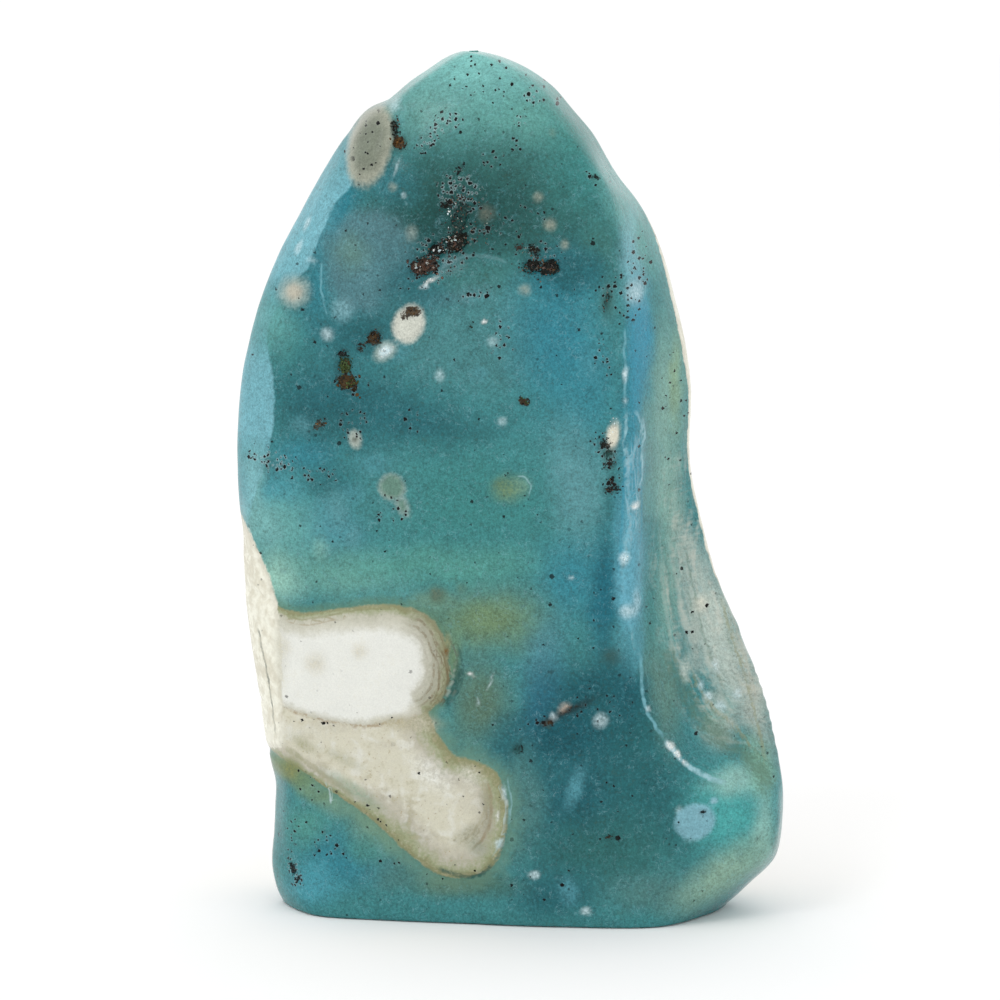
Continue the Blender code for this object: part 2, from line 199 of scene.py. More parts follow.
def rounded(points: tuple, steps: int = 8, closed: bool = False) -> np.ndarray:
    """A smooth curve through given points.

    Args:
        points: (x, z) places in order.
        steps: Short runs between one place and the next.
        closed: Whether the curve comes back to its first place.

    Returns:
        The curve's own points, one row each.
    """
    knots = np.array(points, float)
    if closed:
        knots = np.vstack([knots[-1], knots, knots[:2]])
    else:
        knots = np.vstack([2 * knots[0] - knots[1], knots, 2 * knots[-1] - knots[-2]])
    share = np.linspace(0, 1, steps, endpoint=False)[:, None]
    runs = []
    for before, start, end, after in zip(knots, knots[1:], knots[2:], knots[3:]):
        rise = (end - before) / 2
        fall = (after - start) / 2
        cubic = 2 * start - 2 * end + rise + fall
        square = 3 * end - 3 * start - 2 * rise - fall
        runs.append(((cubic * share + square) * share + rise) * share + start)
    if not closed:
        runs.append(knots[-2][None])
    return np.vstack(runs)


def beside_line(x: np.ndarray, z: np.ndarray, line: np.ndarray) -> tuple[np.ndarray, np.ndarray]:
    """How far points are from a line, and where along it.

    Args:
        x: Places across the face.
        z: Heights.
        line: The line's (x, z) points.

    Returns:
        The distance, positive to the left of the line's way, and the share of the way passed.
    """
    nearest = np.full(x.shape, np.inf)
    offset = np.full(x.shape, np.inf)
    passed = np.zeros(x.shape)
    for number, ((x0, z0), (x1, z1)) in enumerate(zip(line[:-1], line[1:])):
        dx, dz = x1 - x0, z1 - z0
        along = np.clip(((x - x0) * dx + (z - z0) * dz) / (dx * dx + dz * dz), 0, 1)
        out_x, out_z = x - x0 - along * dx, z - z0 - along * dz
        away = np.hypot(out_x, out_z)
        closer = away < nearest
        nearest = np.where(closer, away, nearest)
        side = np.where(dx * out_z - dz * out_x >= 0, 1.0, -1.0)
        offset = np.where(closer, away * side, offset)
        passed = np.where(closer, (number + along) / (len(line) - 1), passed)
    return offset, passed


def depth_inside(x: np.ndarray, z: np.ndarray, outline: np.ndarray) -> np.ndarray:
    """How deep points lie inside a closed outline, negative outside it.

    Args:
        x: Places across the face.
        z: Heights.
        outline: The outline's (x, z) points.

    Returns:
        The depth in millimetres.
    """
    ring = np.vstack([outline, outline[:1]])
    offset, _ = beside_line(x, z, ring)
    inside = np.zeros(x.shape, bool)
    for (x0, z0), (x1, z1) in zip(ring[:-1], ring[1:]):
        crosses = (z0 > z) != (z1 > z)
        at = x0 + (z - z0) / ((z1 - z0) if z1 != z0 else 1.0) * (x1 - x0)
        inside ^= crosses & (x < at)
    return np.where(inside, np.abs(offset), -np.abs(offset))


def points_of(mesh: bpy.types.Mesh) -> np.ndarray:
    """A mesh's points in millimetres, one row each."""
    places = np.zeros(len(mesh.vertices) * 3)
    mesh.vertices.foreach_get("co", places)
    return places.reshape(-1, 3) / MM


def store(mesh: bpy.types.Mesh, name: str, values: np.ndarray) -> None:
    """Stores a number or a colour for each point of a mesh, for its finish to read."""
    kind, key = ("FLOAT", "value") if values.ndim == 1 else ("FLOAT_COLOR", "color")
    layer = mesh.attributes.new(name, kind, "POINT")
    layer.data.foreach_set(key, values.astype(np.float32).ravel())


@dataclass(frozen=True)
class Spot:
    """An ellipse on the face.

    Sizes are half widths and half heights in millimetres, and the turn is in degrees against the
    clock.
    """

    x: float
    z: float
    half_width: float
    half_height: float
    turn: float = 0.0

    def reach(self, x: np.ndarray, z: np.ndarray) -> np.ndarray:
        """How far points are from the middle, as a share of the spot's size.

        Args:
            x: Places across the face.
            z: Heights.

        Returns:
            0 in the middle and 1 at the edge.
        """
        turn = radians(self.turn)
        across, up = x - self.x, z - self.z
        along = (across * cos(turn) + up * sin(turn)) / self.half_width
        beside = (up * cos(turn) - across * sin(turn)) / self.half_height
        return np.hypot(along, beside)

    def depth(self, x: np.ndarray, z: np.ndarray) -> np.ndarray:
        """How many millimetres inside the spot's edge points are."""
        return (1 - self.reach(x, z)) * min(self.half_width, self.half_height)


@dataclass(frozen=True)
class Cloud:
    """A soft patch of one tone.

    Attributes:
        tone: Its tone.
        strength: How much of the tone shows in the middle.
        spot: Where it lies.
        softness: The share of its size over which it fades.
        overspill: How much of that fade lies outside the spot.
    """

    tone: Tone
    strength: float
    spot: Spot
    softness: float = 0.9
    overspill: float = 0.45

    def cover(self, x: np.ndarray, z: np.ndarray) -> np.ndarray:
        """How much of the tone shows at each point.

        Args:
            x: Places across the face.
            z: Heights.

        Returns:
            A share from 0 to the cloud's strength.
        """
        inner = 1 - self.softness
        outer = 1 + self.softness * self.overspill
        fade = (outer - self.spot.reach(x, z)) / (outer - inner)
        return self.strength * smooth_step(fade)


@dataclass(frozen=True)
class Nodule:
    """A cut nodule.

    Attributes:
        rim: Its tone at the edge.
        core: Its tone in the middle.
        spot: Where it lies.
        core_size: How much of it the middle tone fills.
        rise: How far it stands out of the face, in millimetres.
        edge: How broad the fade round it is, in millimetres.
    """

    rim: Tone
    core: Tone
    spot: Spot
    core_size: float
    rise: float
    edge: float


@dataclass(frozen=True)
class Pit:
    """A hollow that the polish didn't reach: its floor's tone, its depth and its place."""

    floor: Tone
    depth: float
    spot: Spot


@dataclass(frozen=True)
class Vein:
    """A thin line in the face: its tone, half width, points, strength and how far it rises."""

    tone: Tone
    half_width: float
    points: tuple
    strength: float
    rise: float

    def beside(self, x: np.ndarray, z: np.ndarray) -> tuple[np.ndarray, np.ndarray]:
        """How far points are from the line, and where along it."""
        return beside_line(x, z, rounded(self.points))


def clouds(*rows: tuple) -> tuple[Cloud, ...]:
    """Clouds from rows of tone, strength, x, z, half width, half height, turn and softness."""
    return tuple(Cloud(row[0], row[1], Spot(*row[2:7]), *row[7:]) for row in rows)


def pits(*rows: tuple) -> tuple[Pit, ...]:
    """Pits from rows of tone, depth, x, z, half width, half height and turn."""
    return tuple(Pit(floor, depth, Spot(*place)) for floor, depth, *place in rows)


# The gel's tones, from the broad ones to the small ones that lie over them.
CLOUDS = clouds(
    # The crown: light mint at the top, falling to the dark pond-green band.
    (Tone.MINT, 1, -3.6, 87.1, 15.97, 9.47),
    (Tone.SEAFOAM, 0.9, 1.7, 78.6, 9.2, 5.13),
    (Tone.GREY_GREEN, 0.7, -8.5, 79.6, 4.84, 3.35),
    (Tone.DUSK_GREEN, 0.9, 1.2, 73.3, 7.55, 4.44),
    (Tone.LEAF_TEAL, 0.85, 6.7, 73.7, 4.65, 5.92),
    (Tone.TEAL_GREEN, 0.6, 6.4, 78.8, 3.48, 3.35),
    (Tone.POND, 1, -5.5, 71.0, 11.62, 6.9, -4),
    (Tone.POND, 0.9, 3.2, 67.1, 6.78, 4.44),
    (Tone.INK, 0.9, -5.5, 69.4, 8.23, 4.14, 8),
    (Tone.POND, 0.6, -8.0, 73.9, 3.1, 2.37),
    (Tone.DUSK_GREEN, 0.7, 9.0, 67.1, 2.9, 4.93),
    (Tone.WISP, 0.8, 11.6, 70.4, 1.94, 8.38, 25),
    (Tone.TEAL_GREEN, 0.5, 7.7, 78.2, 1.55, 3.94, 38),
    (Tone.SEAFOAM, 0.7, 12.4, 66.6, 1.36, 5.92, 8),
    # The upper left: the blue band inside the bevel and the grey-blue botryoid.
    (Tone.SEA_DARK, 0.8, -18.1, 61.7, 5.32, 6.41),
    (Tone.SEA_BAND, 0.9, -16.9, 70.2, 1.94, 5.92, -28),
    (Tone.CLOUD_BLUE, 0.8, -18.8, 68.4, 1.55, 3.55, -20),
    (Tone.SEA_BAND, 0.5, -18.8, 63.2, 1.16, 3.94, -5),
    (Tone.SEA_DARK, 0.8, -11.6, 72.9, 3.29, 2.56),
    (Tone.SLATE, 0.8, -13.7, 65.4, 4.84, 5.23, 6, 0.3),
    (Tone.GREY_SAGE, 0.55, -15.7, 66.0, 1.94, 1.87),
    (Tone.DEEP, 0.9, -8.5, 63.6, 4.07, 3.94),
    (Tone.DEEP, 0.95, -13.4, 58.5, 6.78, 2.56),
    (Tone.INK, 0.3, -12.8, 59.1, 2.9, 1.58),
    # The broad botryoid under the dark grains, and the blue beside the long crease.
    (Tone.LAGOON, 0.95, -4.1, 58.7, 8.52, 6.51, 0, 0.4),
    (Tone.SLATE, 0.5, -5.5, 62.5, 4.45, 1.18, 12),
    (Tone.DUSK_GREEN, 0.75, -3.3, 64.2, 4.84, 1.68),
    (Tone.DEEP, 0.7, -8.7, 62.5, 3.29, 2.37),
    (Tone.DEEP, 0.6, -12.4, 59.9, 2.52, 1.97),
    (Tone.SEA, 0.95, 4.6, 58.2, 5.03, 8.38),
    (Tone.SEA, 0.55, 7.5, 51.8, 3.48, 5.92),
    (Tone.DUSK_GREEN, 0.6, 8.7, 66.1, 2.13, 3.35),
    (Tone.PETROL, 0.95, 5.8, 64.2, 3.68, 2.37),
    (Tone.POND, 0.5, 6.1, 64.4, 2.9, 1.97),
    # The left side, down to the white bodies.
    (Tone.SHALLOW, 0.9, -23.6, 58.2, 2.32, 3.94),
    (Tone.LEAF_TEAL, 0.6, -22.0, 54.3, 2.71, 5.42),
    (Tone.DEEP, 1, -17.2, 51.6, 9.2, 5.92),
    (Tone.DEEP, 0.95, -8.0, 49.8, 8.13, 3.35),
    (Tone.INK, 0.22, -18.1, 49.6, 3.87, 2.37),
    (Tone.INK, 0.18, -4.1, 49.3, 3.87, 1.97),
    (Tone.SEA, 0.7, -20.7, 46.5, 3.68, 1.97),
    (Tone.DEEP, 0.7, -17.6, 44.1, 4.07, 1.97),
    (Tone.DARK_SLATE, 0.5, -24.2, 44.9, 2.52, 1.18),
    (Tone.CYAN, 0.7, -23.3, 42.2, 3.29, 2.56),
    (Tone.SHALLOW, 1, -22.5, 38.8, 4.65, 3.75),
    (Tone.EDGE_GREEN, 0.6, -24.2, 39.0, 2.13, 2.56),
    (Tone.CLOUD_BLUE, 0.6, -17.2, 39.5, 3.29, 2.56),
    (Tone.EDGE_GREEN, 0.8, -25.4, 42.9, 1.16, 4.93),
    (Tone.SPRING, 0.95, -16.7, 34.9, 7.36, 2.96),
    (Tone.DEW, 1, -23.3, 33.9, 2.9, 2.96),
    # The middle.
    (Tone.BODY_BLUE, 0.5, -4.1, 51.8, 5.81, 2.96),
    (Tone.LEAF_TEAL, 0.85, -4.1, 42.0, 10.65, 5.92),
    (Tone.SOFT_GREEN, 0.9, -6.5, 36.0, 10.65, 2.37),
    (Tone.LAGOON, 0.5, -11.8, 42.9, 3.29, 3.94),
    (Tone.HAZE, 0.85, 6.4, 43.9, 2.9, 6.9, 8),
    (Tone.SEA, 0.8, 6.1, 34.6, 3.87, 4.44),
    (Tone.PETROL, 0.95, 9.2, 33.1, 1.74, 7.39, -3),
    (Tone.DEEP, 0.35, 9.7, 41.2, 0.97, 4.34),
    (Tone.OLIVE, 1, -2.2, 30.5, 6.39, 3.55),
    (Tone.BLUE_HAZE, 0.6, 3.2, 27.0, 2.13, 4.54, -22),
    (Tone.OLIVE, 0.9, -5.5, 26.7, 0.87, 2.56),
    (Tone.HALO, 0.7, -8.0, 32.5, 2.9, 1.18),
    (Tone.DEEP_PETROL, 1, 8.0, 23.2, 6.39, 4.54),
    (Tone.DEEP_PETROL, 1, 4.6, 19.5, 6.39, 3.35, 15),
    (Tone.OLIVE_GREY, 0.95, -3.3, 22.2, 3.29, 5.13),
    (Tone.INDIGO, 0.6, 2.7, 22.2, 2.13, 4.54, -20),
    (Tone.DEEP, 0.8, -0.4, 18.3, 2.9, 3.35),
    # The lower part of the face.
    (Tone.DARK_TEAL, 0.95, 11.4, 19.3, 5.42, 5.92),
    (Tone.ABYSS, 0.9, 6.4, 12.4, 6.39, 8.28),
    (Tone.ABYSS, 0.6, 6.1, 19.5, 3.87, 2.96),
    (Tone.ABYSS, 0.7, 11.2, 24.2, 2.13, 4.34),
    (Tone.DARK_TEAL, 0.9, 13.8, 13.4, 5.42, 5.92),
    (Tone.ABYSS, 0.5, 16.2, 9.4, 2.32, 2.17),
    (Tone.GREY_TEAL, 0.8, 1.3, 12.4, 1.94, 5.92),
    (Tone.POOL, 0.8, 9.7, 7.8, 8.13, 4.34),
    (Tone.DEEP, 0.9, 3.8, 3.5, 4.84, 2.96),
    (Tone.OLIVE_GREY, 0.85, -5.5, 4.1, 6.2, 1.58),
    (Tone.HALO, 0.9, -13.6, 9.4, 4.26, 2.17, -35),
    (Tone.GREY_TEAL, 0.7, -12.3, 5.3, 3.87, 2.37),
    (Tone.SEA, 0.8, -17.2, 5.7, 4.26, 2.96),
    (Tone.SOFT_GREEN, 0.8, -20.6, 9.2, 2.52, 2.56),
    (Tone.SOFT_GREEN, 0.6, -14.7, 7.2, 2.13, 1.38),
    (Tone.CYAN, 0.85, -19.8, 3.2, 2.9, 2.17),
    (Tone.WARM_OLIVE, 1, -21.5, 15.0, 2.32, 1.97),
    (Tone.OLIVE, 0.8, -20.2, 13.1, 1.74, 1.38),
    (Tone.WARM_OLIVE, 0.9, -23.1, 15.0, 1.74, 1.77),
    (Tone.HALO, 0.8, -18.4, 11.8, 2.32, 1.38, -35),
    (Tone.AQUA, 1, 21.3, 11.2, 4.84, 4.93),
    (Tone.PALE_AQUA, 0.9, 24.8, 9.4, 1.36, 5.13),
    (Tone.GREY_TEAL, 0.9, 14.3, 3.7, 5.42, 2.37),
    (Tone.POOL, 0.5, -3.1, 4.5, 3.1, 1.58),
    (Tone.INK, 0.25, -3.5, 4.1, 3.29, 1.18),
    (Tone.SAGE, 1, 21.1, 5.1, 6, 2.56, 32),
    # The band of blue along the crease.
    (Tone.SEA, 0.95, 11.6, 43.9, 1.55, 14.79),
    (Tone.STREAM, 1, 12.4, 58.2, 1.45, 6.9),
    (Tone.CLOUD_BLUE, 0.8, 11.8, 43.9, 1.55, 6.9),
    (Tone.SKY, 0.6, 11.6, 35.4, 1.55, 6.9, 4),
    (Tone.CLOUD_BLUE, 0.6, 11.2, 28.2, 1.36, 2.96),
    (Tone.ICE, 0.7, 11.6, 65.4, 1.36, 4.93),
    # The scoop on the right.
    (Tone.LEAF_TEAL, 0.7, 13.8, 32.1, 1.16, 6.9),
    (Tone.PALE_GREEN, 1, 15.5, 51.3, 2.32, 9.86),
    (Tone.MOSS, 0.9, 16.4, 53.0, 0.77, 4.93),
    (Tone.PALE_GREEN, 0.9, 15.8, 42.0, 2.13, 5.92),
    (Tone.PALE_GREEN, 0.8, 15.5, 33.1, 1.55, 7.89),
    (Tone.FOG, 0.55, 17.4, 35.4, 1.36, 8.28, 6),
    (Tone.PEARL, 0.9, 20.1, 29.3, 2.71, 8.87, 16),
    (Tone.GREY_SAGE, 0.7, 14.7, 23.2, 1.55, 5.92, 12),
    (Tone.PALE_AQUA, 1, 22.2, 14.3, 3.1, 1.77),
    (Tone.SAGE, 0.6, 20.3, 19.7, 2.13, 2.17),
    (Tone.PEARL, 0.7, 21.7, 24.2, 1.74, 4.34, 20),
    (Tone.PEARL, 0.8, 21.3, 29.9, 1.94, 3.55, 14),
    (Tone.FOG, 0.6, 20.9, 19.1, 2.52, 1.97, 25),
    (Tone.SILVER, 1, 24.0, 22.2, 1.74, 6.51, 16),
    (Tone.JADE, 1, 24.4, 15.7, 1.55, 2.96, 4),
)

# Small soft spots that lie over everything: pale clouds in the gel and beige ones in the chalk.
BLOOMS = clouds(
    (Tone.PINKISH, 0.8, 18.5, 11.3, 0.68, 0.59),
    (Tone.SILVER, 0.5, 18.2, 25.4, 0.87, 1.38, 20),
    (Tone.SILVER, 0.5, 20.3, 21.9, 0.97, 0.89, -30),
    (Tone.CHALK, 0.5, -8.0, 15.1, 2.9, 1.48, -40),
    (Tone.CANVAS, 0.5, -20.6, 18.5, 2.52, 0.89),
    (Tone.CANVAS, 0.7, -4.1, 15.0, 1.55, 1.08, -30),
    (Tone.DRAB, 0.6, -2.4, 11.8, 0.77, 2.56),
    (Tone.DRAB, 0.6, -3.9, 9.2, 2.13, 1.18, 30),
    (Tone.CANVAS, 0.5, -22.9, 26.2, 0.87, 3.94),
    (Tone.STREAM, 0.7, 12.0, 57.2, 0.87, 6.11),
    (Tone.STREAM, 0.4, 11.9, 50.3, 0.77, 3.55),
    (Tone.AZURE, 0.55, 11.7, 44.7, 0.77, 3.94),
    (Tone.SKY, 0.6, 11.6, 39.2, 0.87, 4.14),
    (Tone.SKY, 0.85, 11.3, 33.3, 1.26, 4.14, 4),
    (Tone.CLOUD_BLUE, 0.75, 12.3, 27.7, 0.68, 2.96, -8),
    (Tone.SEAM, 0.7, -10.4, 20.1, 3.29, 0.89),
    (Tone.HALO, 0.5, -15.5, 13.2, 3.48, 0.79, -32),
    (Tone.NODULE_RIM, 0.5, 2.5, 71.8, 0.58, 0.59),
    (Tone.NODULE_RIM, 0.6, 3.7, 69.2, 0.68, 0.69),
    (Tone.NODULE_RIM, 0.5, 5.1, 67.2, 0.48, 0.49),
    (Tone.DUST, 0.7, -2.5, 70.2, 0.97, 0.89),
    (Tone.NODULE_RIM, 0.45, -11.5, 72.6, 0.48, 0.49),
    (Tone.SILVER, 0.45, -9.7, 68.3, 0.68, 0.79),
    (Tone.NODULE_RIM, 0.5, 1.2, 62.9, 0.68, 0.59),
    (Tone.PALE_ICE, 0.4, -16.5, 60.7, 1.16, 1.18),
    (Tone.FROST, 0.5, -18.0, 58.3, 0.68, 0.69),
    (Tone.FROST, 0.5, 12.0, 62.5, 0.97, 1.28),
    (Tone.GREY_SAGE, 0.7, 3.9, 77.9, 0.48, 0.49),
    (Tone.FROST, 0.6, 8.7, 20.7, 0.77, 0.79),
    (Tone.PINKISH, 0.85, 5.1, 22.0, 0.68, 0.49, 30),
    (Tone.FROST, 0.8, 2.2, 5.3, 0.58, 0.49),
    (Tone.FROST, 0.7, 7.3, 1.7, 0.58, 0.49),
    (Tone.CLOUD_BLUE, 0.85, 6.2, 14.1, 0.87, 2.37, -20),
    (Tone.CLOUD_BLUE, 0.8, 5.6, 3.7, 1.06, 1.58, 15),
    (Tone.CLOUD_BLUE, 0.35, -3.1, 54.8, 0.97, 0.89),
    (Tone.INK, 0.55, 9.7, 27.1, 1.16, 1.08),
    (Tone.DUST, 0.15, 9.7, 27.1, 1.06, 0.99),
    (Tone.INK, 0.9, 0.6, 17.8, 0.68, 0.49, 25),
    (Tone.OLIVE_GREY, 1, -7.3, 32.9, 1.06, 0.99),
    (Tone.DUST, 0.4, -7.4, 33.0, 0.68, 0.69),
    (Tone.OLIVE_GREY, 0.5, -4.9, 33.6, 0.68, 0.59),
    (Tone.MOSS_BROWN, 0.35, -1.2, 43.9, 0.87, 0.69),
    (Tone.OLIVE, 0.75, -0.4, 43.5, 1.74, 1.48),
    (Tone.MOSS, 0.3, 1.0, 43.9, 0.97, 1.18),
    (Tone.SAND, 0.55, -19.4, 25.7, 1.16, 1.18),
    (Tone.SAND, 0.45, -14.9, 27.2, 0.87, 0.89),
    (Tone.SAND, 0.35, -22.5, 27.2, 0.87, 0.99),
    (Tone.BEIGE, 0.4, -17.6, 19.5, 3.29, 0.59, -4),
    (Tone.OLIVE_TAN, 0.35, -16.7, 16.3, 2.52, 0.69, -25),
    (Tone.BEIGE, 0.45, -8.9, 20.3, 1.94, 1.18, -30),
    (Tone.BEIGE, 0.3, -12.3, 17.8, 1.55, 0.59),
    (Tone.OLIVE_TAN, 0.5, -20.6, 17.5, 1.55, 0.69, -25),
    (Tone.OLIVE_TAN, 0.8, -6.3, 28.2, 0.48, 0.99),
    (Tone.OCHRE, 0.8, -6.4, 27.4, 0.29, 0.49),
    (Tone.BEIGE, 0.3, -4.1, 12.4, 1.55, 1.77),
    (Tone.OLIVE_GREY, 0.35, -3.3, 7.9, 1.16, 0.99),
    (Tone.UMBER, 0.75, 5.8, 21.8, 3.1, 0.44, 25),
    (Tone.RUST, 0.7, 3.5, 20.5, 0.68, 0.39, 20),
    (Tone.OCHRE, 0.3, -11.0, 76.8, 0.87, 0.69),
    (Tone.PEARL, 0.7, 17.2, 25.0, 0.58, 1.38),
    (Tone.FROST, 0.7, 19.5, 22.2, 0.58, 0.49, -35),
    (Tone.FROST, 0.6, 20.8, 21.1, 0.68, 0.49, -35),
    (Tone.FROST, 0.5, 18.8, 23.2, 0.39, 0.49),
    (Tone.SILVER, 0.6, 21.8, 19.5, 0.68, 0.49, -30),
    (Tone.SILVER, 0.6, 18.2, 28.2, 0.58, 1.97, 5),
    (Tone.CREAM, 0.5, 18.9, 30.9, 0.87, 0.99),
    (Tone.DUST, 0.45, 9.5, 47.1, 0.87, 1.58),
    (Tone.GREY_TEAL, 0.6, 9.3, 61.7, 0.97, 2.17),
    (Tone.POND, 0.7, 9.2, 61.7, 0.58, 1.58),
    (Tone.CLOUD_BLUE, 0.3, 7.5, 55.8, 1.16, 1.97),
    (Tone.SLATE, 0.2, 13.8, 45.9, 0.97, 1.97),
    (Tone.CLOUD_BLUE, 0.45, -15.7, 42.7, 1.55, 1.18),
    (Tone.CLOUD_BLUE, 0.4, -13.6, 45.7, 2.13, 1.18),
    (Tone.CLOUD_BLUE, 0.35, -11.1, 57.2, 1.94, 1.38, 30),
    (Tone.CLOUD_BLUE, 0.35, -18.1, 41.5, 1.55, 1.18),
    (Tone.ICE, 0.2, -20.6, 49.3, 1.36, 0.99),
    (Tone.WARM_OLIVE, 0.9, -21.9, 14.8, 1.16, 1.38),
    (Tone.OLIVE, 0.7, -20.9, 13.8, 1.26, 0.79, 20),
    (Tone.OLIVE, 0.5, -18.6, 12.4, 1.36, 0.49, 32),
    (Tone.PALE_ICE, 0.4, 18.2, 9.2, 1.36, 0.59, 20),
    (Tone.FROST, 0.4, 16.5, 11.8, 0.48, 0.39),
    (Tone.SILVER, 0.55, -9.8, 58.3, 0.77, 0.69),
    (Tone.HAZE, 0.5, -17.1, 41.2, 1.16, 2.17, 10),
    (Tone.HAZE, 0.4, -15.5, 38.5, 0.77, 1.38, -10),
    (Tone.DEW, 0.35, -18.8, 37.2, 0.87, 1.18),
    (Tone.FROST, 0.5, 22.5, 22.2, 0.48, 0.69, -30),
    (Tone.FROST, 0.5, 20.3, 25.0, 0.39, 0.79, 15),
)

# Painted glints: tiny marks in the gel, most of them bright, that stand for highlights of light on the
# polish.
PAINTED_GLINTS = clouds(
    (Tone.WHITE, 1, -2.7, 59.9, 0.31, 0.3, 0, 0.4),
    (Tone.WHITE, 0.8, -7.8, 63.7, 0.77, 0.22, 28, 0.6),
    (Tone.FROST, 0.6, -8.5, 63.1, 0.58, 0.2, 10, 0.6),
    (Tone.FROST, 0.85, 11.0, 54.6, 0.29, 0.79),
    (Tone.FROST, 0.6, 11.0, 52.1, 0.29, 0.39),
    (Tone.WHITE, 0.85, 12.0, 41.8, 0.48, 0.39),
    (Tone.FROST, 0.85, 11.0, 36.7, 0.58, 0.69),
    (Tone.DUST, 0.6, 10.8, 35.9, 0.29, 0.2),
    (Tone.FROST, 0.6, 11.3, 31.5, 0.87, 0.69),
    (Tone.FROST, 0.35, 12.2, 32.3, 0.48, 1.38),
    (Tone.WHITE, 0.9, 15.5, 18.2, 0.39, 0.59, 35),
    (Tone.WHITE, 0.9, 16.3, 17.3, 0.48, 0.3, -50),
    (Tone.WHITE, 0.8, 17.0, 16.5, 0.39, 0.2, -40),
    (Tone.FROST, 0.8, 13.4, 21.8, 0.29, 0.3),
    (Tone.FROST, 0.3, -1.8, 57.9, 0.58, 0.59),
    (Tone.FROST, 0.4, -0.9, 50.1, 0.48, 0.49),
    (Tone.FROST, 0.4, -7.0, 54.5, 0.48, 0.69),
    (Tone.WHITE, 0.8, -1.4, 11.2, 0.24, 0.59),
    (Tone.FROST, 0.6, -0.7, 13.4, 0.24, 0.99, 10),
    (Tone.FROST, 0.55, -1.2, 8.4, 0.48, 0.59),
    (Tone.WHITE, 0.9, -4.0, 25.1, 0.48, 0.16, -18),
    (Tone.FROST, 0.5, -2.1, 24.4, 0.15, 0.89, -20),
    (Tone.FROST, 0.6, -3.3, 22.4, 0.19, 0.49, 15),
    (Tone.FROST, 0.6, 5.8, 34.8, 0.29, 0.2),
    (Tone.FROST, 0.55, -20.1, 68.8, 0.29, 0.89, -25),
    (Tone.FROST, 0.5, -20.9, 66.6, 0.29, 0.89, -25),
    (Tone.ICE, 0.5, -19.3, 70.8, 0.29, 0.89, -25),
    (Tone.FROST, 0.45, -11.4, 80.4, 0.48, 0.89, -30),
    (Tone.FROST, 0.5, -10.5, 71.9, 0.29, 0.3),
    (Tone.FROST, 0.45, -11.2, 74.5, 0.19, 0.89, -20),
    (Tone.FROST, 0.3, -19.6, 65.4, 0.68, 0.3),
    (Tone.FROST, 0.5, 4.1, 21.1, 0.39, 0.49, 20),
)

NODULES = (
    Nodule(Tone.NODULE_RIM, Tone.NODULE_GREY, Spot(-13.8, 76.6, 2.27, 4.24, -14), 0.66, 0.18, 0.6),
    Nodule(Tone.PALE_NODULE, Tone.BEIGE, Spot(-21.3, 62.3, 1.74, 1.58, 20), 0.45, 0.1, 1.1),
    Nodule(Tone.NODULE_WHITE, Tone.NODULE_WHITE, Spot(-10.0, 59.5, 1.6, 2.02, -22), 0.8, 0.16, 0.5),
    Nodule(Tone.POWDER_BLUE, Tone.POWDER_BLUE, Spot(18.0, 10.6, 2.13, 1.87, 10), 0.6, 0.1, 0.45),
    Nodule(Tone.SILVER, Tone.DUST, Spot(-15.3, 48.1, 0.68, 0.99, 10), 0.3, 0.05, 0.45),
    Nodule(Tone.SILVER, Tone.GREY_SAGE, Spot(-11.7, 43.5, 1.36, 1.38, 15), 0.85, 0.05, 0.6),
    Nodule(Tone.PALE_NODULE, Tone.GREY_SAGE, Spot(-10.7, 41.7, 0.68, 1.18, 25), 0.5, 0.03, 0.6),
    Nodule(Tone.PALE_NODULE, Tone.FROST, Spot(-12.3, 56.8, 1.36, 0.89, 35), 0.5, 0.07, 0.6),
    Nodule(Tone.PALE_NODULE, Tone.CREAM, Spot(9.8, 48.7, 0.77, 1.68, -8), 0.7, 0.06, 0.45),
    Nodule(Tone.POWDER_BLUE, Tone.PALE_ICE, Spot(19.9, 12.6, 0.48, 0.39), 0.5, 0.03, 0.3),
)

